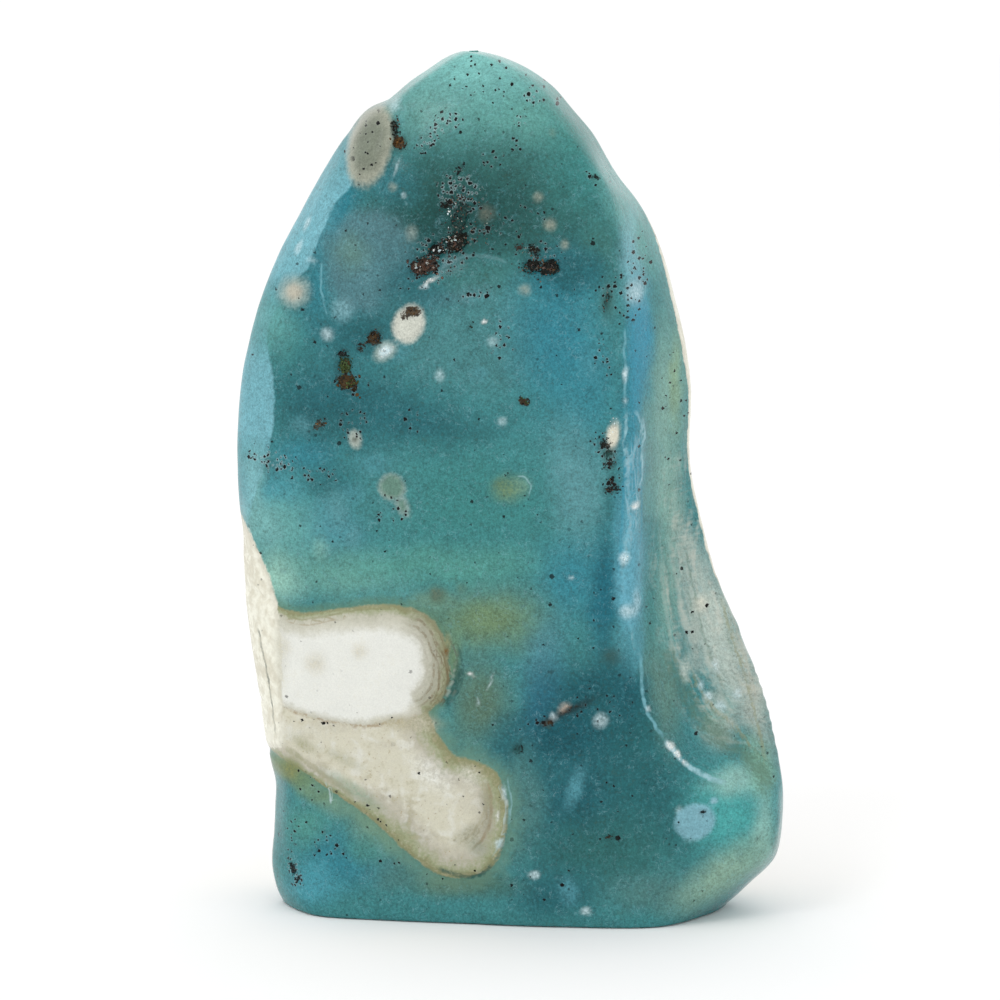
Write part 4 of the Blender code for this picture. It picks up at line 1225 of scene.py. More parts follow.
    def write(self, mesh: bpy.types.Mesh, relief: np.ndarray) -> None:
        """Stores every value on the mesh's points.

        Args:
            mesh: The skin's mesh, with the chart's points in order.
            relief: The height that was added at each point.
        """
        nodule_depth, nodule_tone = self.nodules()
        pit_depth, pit_tone = self.pits()
        vein_ratio, vein_tone = self.veins()
        crease_offset, ribbed = self.scoop()
        bevel_depth, bevel_painted_light = self.bevel()
        upper, lower = self.bodies()
        for name, values in (
            ("matrix_depth", self.chart.matrix_depth()),
            ("upper_depth", upper),
            ("lower_depth", lower),
            ("nodule_depth", nodule_depth),
            ("pit_depth", pit_depth),
            ("vein_ratio", vein_ratio),
            ("crease_offset", crease_offset),
            ("ribbed", ribbed),
            ("ringed", self.ringed()),
            ("bevel_depth", bevel_depth),
            ("bevel_painted_light", bevel_painted_light),
            ("speckle", self.speckle()),
            ("relief", relief),
            ("facing", self.chart.facing),
            ("gel_tone", self.gel()),
            ("spots_and_painted_glints_tone", self.overlay()),
            ("nodule_tone", nodule_tone),
            ("pit_tone", pit_tone),
            ("vein_tone", vein_tone),
        ):
            store(mesh, name, values)


class Signal:
    """A number in a material's node tree, with arithmetic that adds Math nodes."""

    def __init__(self, bench: "Bench", socket: bpy.types.NodeSocket) -> None:
        """Wraps a socket of the bench's node tree."""
        self.bench = bench
        self.socket = socket

    def __add__(self, other: "Signal | float") -> "Signal":
        """The sum."""
        return self.bench.maths("ADD", self, other)

    __radd__ = __add__

    def __sub__(self, other: "Signal | float") -> "Signal":
        """The difference."""
        return self.bench.maths("SUBTRACT", self, other)

    def __rsub__(self, other: float) -> "Signal":
        """A number less this one."""
        return self.bench.maths("SUBTRACT", other, self)

    def __mul__(self, other: "Signal | float") -> "Signal":
        """The product."""
        return self.bench.maths("MULTIPLY", self, other)

    __rmul__ = __mul__

    def __truediv__(self, other: "Signal | float") -> "Signal":
        """The quotient."""
        return self.bench.maths("DIVIDE", self, other)

    def __neg__(self) -> "Signal":
        """This number with its sign turned."""
        return self.bench.maths("MULTIPLY", self, -1.0)

    def __abs__(self) -> "Signal":
        """This number without its sign."""
        return self.bench.maths("ABSOLUTE", self, 0.0)


class Bench:
    """A material and the tools that build its nodes."""

    def __init__(self, name: str) -> None:
        """Makes a material with an empty node tree."""
        self.material = bpy.data.materials.new(name)
        self.material.use_nodes = True
        self.tree = self.material.node_tree
        self.tree.nodes.clear()

    def node(self, kind: str, settings: dict, inputs: dict, output: int | str = 0) -> Signal:
        """Adds a node.

        Args:
            kind: The node's type name.
            settings: Its properties, and under "stops" a colour ramp's (place, tone) pairs.
            inputs: Values, tones or signals by the name or number of their socket.
            output: The name or number of the socket to hand back.

        Returns:
            The node's output.
        """
        made = self.tree.nodes.new(kind)
        for name, value in settings.items():
            if name == "stops":
                self.fill_ramp(made.color_ramp, value)
            else:
                setattr(made, name, value)
        for key, value in inputs.items():
            if isinstance(value, Signal):
                self.tree.links.new(value.socket, made.inputs[key])
            else:
                plain = rgba(value) if isinstance(value, Tone) else value
                made.inputs[key].default_value = plain
        return Signal(self, made.outputs[output])

    @staticmethod
    def fill_ramp(ramp: bpy.types.ColorRamp, stops: tuple) -> None:
        """Gives a ramp its (place, tone) stops."""
        while len(ramp.elements) < len(stops):
            ramp.elements.new(0.5)
        for element, (place, tone) in zip(ramp.elements, stops):
            element.position = place
            element.color = rgba(tone)

    def maths(self, operation: str, first: Signal | float, second: Signal | float) -> Signal:
        """Adds a Math node on two numbers."""
        return self.node("ShaderNodeMath", {"operation": operation}, {0: first, 1: second})

    def clamp(self, value: Signal) -> Signal:
        """Keeps a number between 0 and 1."""
        return self.node("ShaderNodeClamp", {}, {"Value": value})

    def rise(self, value: Signal, low: float, high: float) -> Signal:
        """A smooth step from 0 at low to 1 at high.

        Args:
            value: The number that the step follows.
            low: Where the step is still 0.
            high: Where it has come to 1.

        Returns:
            The step.
        """
        settings = {"interpolation_type": "SMOOTHSTEP"}
        ends = {"Value": value, "From Min": low, "From Max": high}
        return self.node("ShaderNodeMapRange", settings, ends)

    def mix(self, share: Signal | float, under: Signal | Tone, over: Signal | Tone) -> Signal:
        """One colour laid over another.

        Args:
            share: How much of the upper colour shows.
            under: The lower colour.
            over: The upper colour.

        Returns:
            The mixed colour.
        """
        inputs = {0: share, 6: under, 7: over}
        return self.node("ShaderNodeMix", {"data_type": "RGBA"}, inputs, 2)

    def stain(
        self, under: Signal, tone: Tone, where: Signal, ends: tuple[float, float], most: Signal | float
    ) -> Signal:
        """Lays a tone over a colour where a number rises.

        Args:
            under: The colour below.
            tone: The tone that is laid over it.
            where: The number that decides where the tone shows.
            ends: At what number it starts to show, and at what number it shows fully.
            most: How much of it shows then.

        Returns:
            The stained colour.
        """
        return self.mix(self.rise(where, *ends) * most, under, tone)

    def scaled(self, colour: Signal, amount: Signal | float) -> Signal:
        """A colour or vector times a number."""
        inputs = {0: colour, "Scale": amount}
        return self.node("ShaderNodeVectorMath", {"operation": "SCALE"}, inputs)

    def place(self) -> Signal:
        """The shaded point's place on the stone, in millimetres."""
        here = self.node("ShaderNodeTexCoord", {}, {}, "Object")
        return self.scaled(here, 1 / MM)

    def value(self, name: str) -> Signal:
        """A number stored on the mesh."""
        return self.node("ShaderNodeAttribute", {"attribute_name": name}, {}, "Fac")

    def colour(self, name: str) -> tuple[Signal, Signal]:
        """A colour stored on the mesh, and its last part."""
        tint = self.node("ShaderNodeAttribute", {"attribute_name": name}, {}, "Color")
        return tint, Signal(self, tint.socket.node.outputs["Alpha"])

    def noise(self, place: Signal, size: float, detail: float, blur: float = 0.0) -> Signal:
        """Noise around zero.

        Args:
            place: Where to read it, in millimetres.
            size: How broad its waves are, in millimetres.
            detail: How many finer layers it has.
            blur: How much it folds back on itself.

        Returns:
            A number between about -0.5 and 0.5.
        """
        inputs = {"Vector": place, "Scale": 1 / size, "Detail": detail, "Distortion": blur}
        return self.node("ShaderNodeTexNoise", {}, inputs, "Fac") - 0.5

    def warped(self, place: Signal, size: float, reach: float) -> Signal:
        """A place pushed about by smooth noise.

        Args:
            place: Where to start, in millimetres.
            size: How broad the waves of the push are.
            reach: About how far it goes.

        Returns:
            The pushed place.
        """
        inputs = {"Vector": place, "Scale": 1 / size, "Detail": 2.0}
        push = self.node("ShaderNodeTexNoise", {}, inputs, "Color")
        middle = {0: push, 1: (0.5, 0.5, 0.5)}
        push = self.node("ShaderNodeVectorMath", {"operation": "SUBTRACT"}, middle)
        both = {0: place, 1: self.scaled(push, reach * 3)}
        return self.node("ShaderNodeVectorMath", {"operation": "ADD"}, both)

    def joined(self, x: Signal, y: Signal, z: Signal | float) -> Signal:
        """A place made of three numbers."""
        return self.node("ShaderNodeCombineXYZ", {}, {0: x, 1: y, 2: z})

    def part(self, place: Signal, axis: int) -> Signal:
        """A place's x, y or z, as number 0, 1 or 2."""
        return self.node("ShaderNodeSeparateXYZ", {}, {0: place}, axis)

    def grains(self, place: Signal, pitch: float) -> tuple[Signal, Signal, Signal]:
        """Scattered grains, one for each cell of a flat random pattern.

        Args:
            place: Where to read the pattern, in millimetres.
            pitch: How far apart the grains are.

        Returns:
            The distance from the nearest grain's middle in millimetres, and two random numbers
            that are that grain's own.
        """
        inputs = {"Vector": place, "Scale": 1 / pitch}
        away = self.node("ShaderNodeTexVoronoi", {"voronoi_dimensions": "2D"}, inputs, "Distance")
        own = Signal(self, away.socket.node.outputs["Color"])
        parts = self.node("ShaderNodeSeparateColor", {}, {0: own})
        second = Signal(self, parts.socket.node.outputs[1])
        return away * pitch, parts, second

    def surface(self, inputs: dict, constants: dict) -> bpy.types.Material:
        """Ends the tree in one shader.

        Args:
            inputs: Links for the shader's sockets, by name.
            constants: Numbers and colours that are the same all over.

        Returns:
            The finished material.
        """
        shader = self.node("ShaderNodeBsdfPrincipled", {}, {**constants, **inputs})
        output = self.tree.nodes.new("ShaderNodeOutputMaterial")
        self.tree.links.new(shader.socket, output.inputs["Surface"])
        return self.material


class StoneLayers(Bench):
    """The layers of the stone's colour, which share the same noises.

    Attributes:
        here: The shaded point, in millimetres.
        swell: Noise in broad waves.
        ripple: Noise in waves of about a millimetre.
        fleck: Finer noise.
        grit: The finest noise.
        facing: 1 on the polished face, 0 behind it.
        behind: The rest of 1.
        upper: How deep the point lies in the upper white body.
        lower: The same for the lower one.
        in_matrix: How deep it lies in the cream matrix.
    """

    UPPER_TONES = (
        (0.00, Tone.OLIVE_TAN), (0.06, Tone.OLIVE_TAN), (0.13, Tone.KHAKI),
        (0.30, Tone.PARCHMENT), (0.56, Tone.CANVAS), (0.80, Tone.CHALK),
    )
    LOWER_TONES = (
        (0.00, Tone.OLIVE_TAN), (0.05, Tone.OLIVE_TAN), (0.22, Tone.KHAKI),
        (0.50, Tone.BEIGE), (0.85, Tone.BONE),
    )
    UPPER_SPAN = 3.7  # millimetres over which a body's tones are spread
    LOWER_SPAN = 4.4
    BODY_EDGE = (-0.12, 0.16)
    GRAINS = ((0.40, 0.13), (0.62, 0.18), (1.30, 0.25))  # black grains: their distance and size

    def __init__(self) -> None:
        """Reads the place, the noises and the stored values that several layers need."""
        super().__init__(SLOT)
        self.here = self.place()
        self.swell = self.noise(self.here, 2.8, 3.0, 0.5)
        self.ripple = self.noise(self.here, 0.95, 4.0, 0.3)
        self.fleck = self.noise(self.here, 0.30, 3.0)
        self.grit = self.noise(self.here, 0.14, 1.0)
        self.facing = self.value("facing")
        self.behind = 1 - self.facing
        self.upper = self.value("upper_depth")
        self.lower = self.value("lower_depth")
        self.in_matrix = self.value("matrix_depth")

    def gel(self) -> Signal:
        """The blue gel with its cloudy depth, and the painted light on the left bevel.

        Returns:
            The gel's colour.
        """
        tone, _ = self.colour("gel_tone")
        # Painted light: the left bevel is washed with ice blue where it would catch the light.
        bevel = self.value("bevel_depth") + self.ripple * 0.5
        tone = self.stain(tone, Tone.ICE, bevel, (-0.10, 0.20), self.value("bevel_painted_light"))
        light = 1 + self.swell * 0.3 + self.ripple * 0.45 + self.fleck * 0.95 + self.grit * 0.8
        tone = self.scaled(tone, light)
        milk = self.noise(self.here, 1.3, 3.0, 0.9)
        hair = abs(self.noise(self.here, 0.75, 1.0, 1.6) + self.fleck * 0.10)
        milky = self.rise(milk, -0.05, 0.15)
        tone = self.stain(tone, Tone.PALE_ICE, hair, (0.035, 0.0), milky * 0.22)
        tone = self.stain(tone, Tone.CLOUD_BLUE, milk, (0.03, 0.30), 0.15)
        tone = self.stain(tone, Tone.CLOUD_BLUE, self.fleck - self.ripple * 0.4, (0.05, 0.28), 0.25)
        green = -self.fleck * 0.7 - milk * 0.5
        return self.stain(tone, Tone.OLIVE_GREY, green, (0.06, 0.26), 0.18)

    def scoop(self, under: Signal) -> Signal:
        """The pale ribs and the fine cross lines of the scoop.

        Args:
            under: The colour that they lie in.

        Returns:
            The colour with the ribs in it.
        """
        ribbed, across = self.value("ribbed"), self.value("crease_offset")
        height = self.part(self.here, 2)
        ribs = self.noise(self.joined(across, height * 0.16, 0.0), 0.75, 3.0, 0.3)
        stripes = self.noise(self.joined(across * 0.30, height, 3.0), 0.34, 2.0, 0.2)
        pale = ribs + stripes * 0.45 + self.swell * 0.5
        under = self.stain(under, Tone.RIBS, pale, (-0.04, 0.30), ribbed * 0.55)
        dark = -ribs - stripes * 0.35
        return self.stain(under, Tone.OLIVE_GREY, dark, (0.08, 0.26), ribbed * 0.30)

    def upper_body(self, ringed: Signal, joint: Signal) -> Signal:
        """The upper white body, with its growth rings.

        Args:
            ringed: How clearly the rings show.
            joint: 1 where the lower body reaches.

        Returns:
            The body's colour.
        """
        swell, ripple, fleck = self.swell, self.ripple, self.fleck
        lit = joint * (1 - ringed * 0.8) * 1.9
        depth = self.upper + ripple * 0.9 + fleck * 0.8 + swell * 0.9 + lit
        ramp = {"stops": self.UPPER_TONES}
        white = self.node("ShaderNodeValToRGB", ramp, {0: depth / self.UPPER_SPAN})
        rim = self.rise(depth, 3.4, 1.2) * ringed
        white = self.mix(rim * 0.5, white, Tone.DRAB)
        turns = self.upper * 9.0 + ripple * 3.5 + swell * 6.0
        rings = self.node("ShaderNodeMath", {"operation": "SINE"}, {0: turns})
        banded = self.rise(self.upper, 0.1, 0.4) * rim * self.rise(fleck + ripple * 0.7, -0.12, 0.12)
        return self.stain(white, Tone.UMBER_LINE, rings, (-0.1, 0.9), banded * 0.6)

    def lower_body(self, motes: Signal) -> Signal:
        """The lower white body, with its specks and stains.

        Args:
            motes: Where beige motes show.

        Returns:
            The body's colour.
        """
        swell, ripple, fleck = self.swell, self.ripple, self.fleck
        depth = self.lower + ripple * 1.9 + fleck * 1.3 + swell * 2.2
        ramp = {"stops": self.LOWER_TONES}
        white = self.node("ShaderNodeValToRGB", ramp, {0: depth / self.LOWER_SPAN})
        white = self.mix(motes, white, Tone.BEIGE)
        inner = self.rise(self.lower, 1.0, 3.0)
        white = self.stain(white, Tone.CHALK, ripple - swell * 0.6, (0.0, 0.25), inner * 0.5)
        stained = -ripple - swell * 0.5 + fleck * 0.4
        white = self.stain(white, Tone.SEAM, stained, (0.05, 0.24), 0.45)
        return self.stain(white, Tone.TAN, fleck + self.grit * 0.8, (0.20, 0.30), 0.5)

    def bodies(self, under: Signal) -> Signal:
        """The white bodies, from the stained halo to the white core.

        Args:
            under: The colour that the bodies lie in.

        Returns:
            The colour with the bodies in it.
        """
        upper, lower = self.upper, self.lower
        swell, ripple, fleck = self.swell, self.ripple, self.fleck
        under = self.stain(under, Tone.HALO, lower + ripple * 1.5, (-2.2, 0.2), 0.6)
        under = self.stain(under, Tone.OLIVE, upper + ripple, (-1.2, 0.1), 0.5)
        joint = self.rise(lower, 0.2, 1.0)
        motes = self.rise(fleck + ripple * 0.6 + swell * 0.5, 0.06, 0.26) * 0.45
        white = self.mix(motes * 0.30, self.upper_body(self.value("ringed"), joint), Tone.SAND)
        in_lower = self.rise(lower + fleck * 0.3, *self.BODY_EDGE)
        in_upper = self.rise(upper + fleck * 0.3, *self.BODY_EDGE)
        both = self.mix(in_upper, self.mix(in_lower, under, self.lower_body(motes)), white)
        seam = joint * self.rise(ripple + fleck, -0.16, 0.16) * 0.75
        both = self.stain(both, Tone.TAN, abs(upper + ripple * 0.9), (0.34, 0.02), seam)
        inside = self.rise(self.maths("MAXIMUM", upper, lower), -0.1, 0.2)
        grainy = self.grit * 0.20 + swell * 0.14 + fleck * 0.12
        return self.scaled(both, 1 + grainy * inside)

    def matrix(self) -> Signal:
        """The cream matrix with its tan stains, and tan painted shade in its hollows.

        Returns:
            The matrix's colour.
        """
        behind, ripple = self.behind, self.ripple
        broad = self.noise(self.here, 7.0, 4.0, 0.8)
        cream = self.mix(self.rise(ripple + broad, -0.25, 0.10), Tone.CREAM, Tone.IVORY)
        cream = self.mix(behind * 0.30, cream, Tone.SAND)
        stained = broad * 1.4 + ripple * 0.8
        cream = self.stain(cream, Tone.SEAM, stained, (-0.04, 0.42), behind * 0.65)
        # Painted shade: tan darkens the sunk parts of the relief on the back, where shade would fall in
        # the hollows.
        sunk = -self.value("relief")
        cream = self.stain(cream, Tone.TAN, sunk, (-0.04, 0.24), behind * 0.65)
        cream = self.stain(cream, Tone.SHALLOW, -broad, (0.14, 0.22), behind * 0.5)
        cream = self.stain(cream, Tone.BEIGE, self.in_matrix, (0.75, 0.05), (1 - behind) * 0.4)
        return self.scaled(cream, 1 + self.fleck * 0.24 + ripple * 0.10)

    def lines(self, under: Signal) -> Signal:
        """The thin veins.

        Args:
            under: The colour that they lie in.

        Returns:
            The colour with the lines in it.
        """
        tint, strength = self.colour("vein_tone")
        gaps = self.rise(self.ripple, -0.14, 0.10) * 0.55 + 0.45
        width = abs(self.value("vein_ratio")) + self.fleck * 1.6
        return self.mix(self.rise(width, 1.5, 0.3) * strength * gaps, under, tint)

    def spots(self, under: Signal) -> Signal:
        """The small soft spots, the painted glints and the cut nodules.

        Args:
            under: The colour that they lie in.

        Returns:
            The colour with them in it.
        """
        grain = 1 + self.fleck * 0.6 + self.grit * 0.6
        # Painted glints ride in this colour along with the soft spots.
        tint, strength = self.colour("spots_and_painted_glints_tone")
        patchy = self.clamp(strength * (1 + self.fleck * 1.8 + self.ripple * 0.8))
        under = self.mix(patchy, under, self.scaled(tint, grain))
        tint, _ = self.colour("nodule_tone")
        depth = self.value("nodule_depth") + self.fleck * 0.7 + self.ripple * 0.7
        mottled = self.scaled(tint, grain + self.ripple * 0.4)
        return self.mix(self.rise(depth, -0.45, 0.85) * 0.96, under, mottled)

    def specks(self, under: Signal) -> tuple[Signal, Signal]:
        """Black grains cut through by the polish, each with a pale rim.

        Args:
            under: The colour that they lie in.

        Returns:
            The colour with the specks in it, and where they are.
        """
        inside = self.maths("MAXIMUM", self.upper, self.lower)
        share = self.value("speckle") * self.facing * (1 - self.rise(inside, 0.0, 1.0) * 0.5)
        flat = self.joined(self.part(self.here, 0), self.part(self.here, 2), 0.0)
        torn = self.warped(flat, 0.16, 0.11)
        found: Signal | float = 0.0
        rims: Signal | float = 0.0
        for pitch, most in self.GRAINS:
            away, first, second = self.grains(torn, pitch)
            edge = away - second * most * 0.8 - most * 0.3
            here = self.rise(share * 0.55 - first, -0.01, 0.01)
            found = self.maths("MAXIMUM", found, self.rise(edge, 0.02, -0.03) * here)
            rims = self.maths("MAXIMUM", rims, self.rise(edge, 0.12, 0.02) * here)
        under = self.mix(rims * share * 0.30, under, Tone.FROST)
        return self.mix(found, under, Tone.BLACK), found

    def crust(self, under: Signal) -> tuple[Signal, Signal]:
        """The broken floors of the unpolished pits, with painted glints in them.

        Args:
            under: The colour that they lie in.

        Returns:
            The colour with the pits in it, and where they are.
        """
        tint, _ = self.colour("pit_tone")
        depth = self.value("pit_depth") + self.fleck * 1.2 + self.ripple * 1.1 - 0.04
        tint = self.stain(tint, Tone.BLACK, self.fleck, (-0.02, 0.14), 0.8)
        tint = self.stain(tint, Tone.BLACK, depth, (0.30, 0.05), 0.6)
        # Painted glints: grey flecks in the pit floors stand for sparkles of light on their crystals.
        tint = self.stain(tint, Tone.DUST, self.grit - self.fleck * 0.4, (0.10, 0.22), 0.55)
        inside = self.rise(depth, -0.06, 0.12)
        return self.mix(inside * 0.95, under, tint), inside

    def matrix_share(self) -> Signal:
        """How much of the cream matrix shows, with its frayed border.

        Returns:
            1 in the matrix and 0 in the gel.
        """
        broad = self.swell * self.behind * 5
        frayed = self.ripple * (self.behind * 1.5 + 0.7) + self.fleck * 0.3 + broad
        return self.rise(self.in_matrix + frayed, -0.12, 0.15)


@dataclass(frozen=True)
class StoneFinish:
    """Polished gel with chalk bodies, on unpolished cream matrix.

    Attributes:
        gloss: Roughness of the polished face.
        matt: Roughness of the unpolished matrix.
        bump: How strongly the fine pores show.
        bump_height: How deep they are, in metres.
        shine: How much the stone mirrors, beside plain glass.
        coat: How much of a clear film of polish lies over it.
        coat_roughness: The film's own roughness.
    """

    gloss: float = 0.17
    matt: float = 0.62
    bump: float = 0.5
    bump_height: float = 0.00012
    shine: float = 0.12
    coat: float = 0.03
    coat_roughness: float = 0.08

    def material(self) -> bpy.types.Material:
        """Builds the finish.

        Returns:
            The stone's material.
        """
        stone = StoneLayers()
        in_matrix = stone.matrix_share()
        colour = stone.bodies(stone.scoop(stone.gel()))
        colour = stone.mix(in_matrix, colour, stone.matrix())
        colour = stone.spots(stone.lines(colour))
        colour, black = stone.specks(colour)
        colour, in_pit = stone.crust(colour)
        raw = stone.rise(stone.in_matrix, 0.0, 1.0) * stone.behind * (self.matt - self.gloss)
        rough = raw + self.gloss + in_pit * 0.35 + in_matrix * 0.10 + stone.ripple * 0.06
        pores = (stone.grit * 0.6 + stone.fleck) * (stone.behind * 0.7 + 0.32)
        height = pores + stone.ripple * 0.25 - black * 0.3
        bump_inputs = {"Strength": self.bump, "Distance": self.bump_height, "Height": height}
        bump = stone.node("ShaderNodeBump", {}, bump_inputs, "Normal")
        links = {"Base Color": colour, "Roughness": stone.clamp(rough), "Normal": bump}
        constants = {
            "IOR": 1.5,
            "Specular IOR Level": self.shine,
            "Coat Weight": self.coat,
            "Coat Roughness": self.coat_roughness,
        }
        return stone.surface(links, constants)


@dataclass(frozen=True)
class CrystalFinish:
    """Small crystals that each have a tone of their own.

    Attributes:
        name: The material's name.
        roughness: How rough they are.
        shine: How much they mirror, beside plain glass.
        bump: How strongly their fine marks show.
        bump_height: How deep these are, in metres.
    """

    name: str
    roughness: float
    shine: float
    bump: float = 0.4
    bump_height: float = 0.00004

    def material(self) -> bpy.types.Material:
        """Builds the finish.

        Returns:
            The crystals' material.
        """
        bench = Bench(self.name)
        place = bench.place()
        tint, _ = bench.colour("grain_tone")
        mottle = bench.noise(place, 0.25, 3.0)
        colour = bench.scaled(tint, 1 + mottle * 0.9)
        rough = bench.clamp(self.roughness + mottle * 0.4)
        height = bench.noise(place, 0.1, 2.0)
        bump_inputs = {"Strength": self.bump, "Distance": self.bump_height, "Height": height}
        bump = bench.node("ShaderNodeBump", {}, bump_inputs, "Normal")
        links = {"Base Color": colour, "Roughness": rough, "Normal": bump}
        return bench.surface(links, {"Specular IOR Level": self.shine})


@dataclass(frozen=True)
class FloorFinish:
    """The plain pale floor."""

    albedo: float = 0.97
    roughness: float = 0.9
    shine: float = 0.1

    def material(self) -> bpy.types.Material:
        """Builds the finish.

        Returns:
            The floor's material.
        """
        bench = Bench("pale_floor")
        pale = (self.albedo, self.albedo, self.albedo, 1.0)
        constants = {"Roughness": self.roughness, "Specular IOR Level": self.shine}
        return bench.surface({"Base Color": pale}, constants)


@dataclass(frozen=True)
class Sheet:
    """A rectangle of the flat layout, for one side of the skin."""

    left: float
    width: float
    bottom: float
    height: float

    def at(self, across: np.ndarray, up: np.ndarray) -> tuple[np.ndarray, np.ndarray]:
        """The layout's places for shares of the sheet's width and height."""
        return self.left + self.width * across, self.bottom + self.height * up


@dataclass
class StoneSkin:
    """The fine mesh that stands for the solid.

    Attributes:
        rings: Rows of points from the foot to the top.
        front_columns: Points of a row on the polished side.
        back_columns: Points of a row behind.
        levels: Heights at which the solid is read.
        rays: Directions in which it is read at each height.
        smoothing: How many points the rounding of the solid's flat facets reaches.
        foot_bevel: How much of the sawn edge is worn off, in millimetres.
        bevel_step: Where the worn edge bends, as a share of that.
        base_rings: Rows of points from the sawn edge to the middle of the base.
        face_sheet: Where the polished side lies in the flat layout.
        back_sheet: Where the back lies.
        base_place: Where the middle of the base lies.
        base_scale: How large a millimetre of the base is there.
    """

    rings: int = 288
    front_columns: int = 214
    back_columns: int = 106
    levels: int = 560
    rays: int = 720
    smoothing: float = 2.6
    foot_bevel: float = 0.28
    bevel_step: float = 0.3
    base_rings: int = 9
    face_sheet: Sheet = Sheet(0.005, 0.65, 0.005, 0.99)
    back_sheet: Sheet = Sheet(0.675, 0.32, 0.36, 0.635)
    base_place: tuple[float, float] = (0.835, 0.17)
    base_scale: float = 0.0062

    @property
    def columns(self) -> int:
        """Points of a whole row."""
        return self.front_columns + self.back_columns

    def read_solid(self, solid: bpy.types.Object) -> tuple[np.ndarray, np.ndarray]:
        """Reads level sections off the solid.

        Args:
            solid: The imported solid.

        Returns:
            For each height a closed row of points, and the solid's topmost point.
        """
        mesh = solid.data
        corners = points_of(mesh)
        faces = [tuple(face.vertices) for face in mesh.polygons]
        tree = BVHTree.FromPolygons([Vector(corner) for corner in corners], faces)
        top = corners[:, 2].max()
        apex = corners[corners[:, 2] > top - 0.05].mean(axis=0)
        apex[2] = top
        turns = pi + np.arange(self.rays) / self.rays * tau
        ways = [Vector((cos(turn), sin(turn), 0)) for turn in turns]
        sections = []
        for share in np.linspace(0.0, 1.0, self.levels, endpoint=False):
            height = self.foot_bevel + (top - self.foot_bevel) * sin(share * pi / 2)
            start = Vector((*(apex[:2] * height / top), height))
            row = []
            for way in ways:
                hit = tree.ray_cast(start, way)[0]
                row.append(hit if hit is not None else (row[-1] if row else start))
            sections.append(np.array(row))
        return np.array(sections), apex

    def even_columns(self, sections: np.ndarray) -> np.ndarray:
        """Spreads each row's points evenly over the front and over the back.

        Args:
            sections: Rows of points, each from the left edge round the front.

        Returns:
            Rows with the skin's own number of points.
        """
        rows = []
        half = self.rays // 2
        for section in sections:
            loop = np.vstack([section, section[:1]])
            parts = []
            front, back = loop[: half + 1], loop[half:]
            for side, count in ((front, self.front_columns), (back, self.back_columns)):
                run = np.append(0, np.cumsum(np.linalg.norm(np.diff(side, axis=0), axis=1)))
                at = np.linspace(0, run[-1], count, endpoint=False)
                parts.append(np.stack([np.interp(at, run, side[:, k]) for k in range(3)], axis=1))
            rows.append(np.vstack(parts))
        return np.array(rows)

    def even_rings(self, rows: np.ndarray) -> np.ndarray:
        """Picks rows so that each is about as far from the next.

        Args:
            rows: Rows of points from the foot to the top.

        Returns:
            The skin's own number of rows.
        """
        moved = np.linalg.norm(np.diff(rows, axis=0), axis=2).max(axis=1)
        run = np.append(0, np.cumsum(moved))
        at = np.linspace(0, run[-1], self.rings)
        flat = rows.reshape(len(rows), -1)
        lower = np.clip(np.searchsorted(run, at, side="right") - 1, 0, len(run) - 2)
        share = ((at - run[lower]) / (run[lower + 1] - run[lower]))[:, None]
        return (flat[lower] * (1 - share) + flat[lower + 1] * share).reshape(self.rings, -1, 3)

    def soften(self, rows: np.ndarray, apex: np.ndarray) -> np.ndarray:
        """Rounds the solid's flat facets off.

        Args:
            rows: The skin's points, row by row.
            apex: The topmost point, over which the rounding carries on.

        Returns:
            The rounded rows.
        """
        reach = int(3 * self.smoothing)
        steps = np.arange(-reach, reach + 1)
        weights = np.exp(-0.5 * (steps / self.smoothing) ** 2)
        weights /= weights.sum()
        across = sum(w * np.roll(rows, s, axis=1) for w, s in zip(weights, steps))
        below = 2 * across[:1] - across[reach:0:-1]
        above = across[-1 : -reach - 1 : -1].copy()
        above[:, :, :2] = 2 * apex[:2] - above[:, :, :2]
        tall = np.concatenate([below, across, above])
        count = len(rows)
        return sum(w * tall[reach + s : reach + s + count] for w, s in zip(weights, steps))

    @staticmethod
    def outward(rows: np.ndarray) -> np.ndarray:
        """The skin's outward directions, row by row.

        Args:
            rows: The skin's points, row by row.

        Returns:
            One direction for each point.
        """
        across = np.roll(rows, -1, axis=1) - np.roll(rows, 1, axis=1)
        up = np.gradient(rows, axis=0)
        out = np.cross(across, up)
        return out / np.maximum(np.linalg.norm(out, axis=2, keepdims=True), 1e-9)

    def chart(self, rows: np.ndarray, out: np.ndarray) -> Chart:
        """Works out where each point lies.

        Args:
            rows: The skin's points, row by row.
            out: Their outward directions.

        Returns:
            The chart of all points, in the rows' order.
        """
        steps = np.linalg.norm(np.roll(rows, -1, axis=1) - rows, axis=2)
        run = np.cumsum(steps, axis=1) - steps
        front, total = self.front_columns, run[:, -1:] + steps[:, -1:]
        half = run[:, front : front + 1]
        ahead = np.arange(self.columns)[None, :] < front
        to_left = np.where(ahead, run, run - total)
        to_right = half - run
        facing = smooth_step((0.30 - out[:, :, 1]) / 0.35)
        flat = rows.reshape(-1, 3)
        return Chart(flat, to_left.ravel(), to_right.ravel(), facing.ravel())

    def foot(self, rows: np.ndarray) -> tuple[np.ndarray, np.ndarray]:
        """The worn sawn edge and the base.

        Args:
            rows: The finished rows above the foot.

        Returns:
            Two rows for the worn edge, and the rows of the base from the edge inwards.
        """
        edge = rows[0]
        middle = edge.mean(axis=0)
        inward = middle - edge
        inward[:, 2] = 0
        inward /= np.linalg.norm(inward, axis=1, keepdims=True)
        step = self.foot_bevel * self.bevel_step
        worn = np.stack([edge + inward * self.foot_bevel, edge + inward * step])
        worn[0, :, 2] = 0
        worn[1, :, 2] = step
        shares = np.linspace(0, 1, self.base_rings + 1)[1:-1, None, None]
        centre = np.array([middle[0], middle[1], 0.0])
        base = worn[0][None] * (1 - shares) + centre * shares
        return worn, base

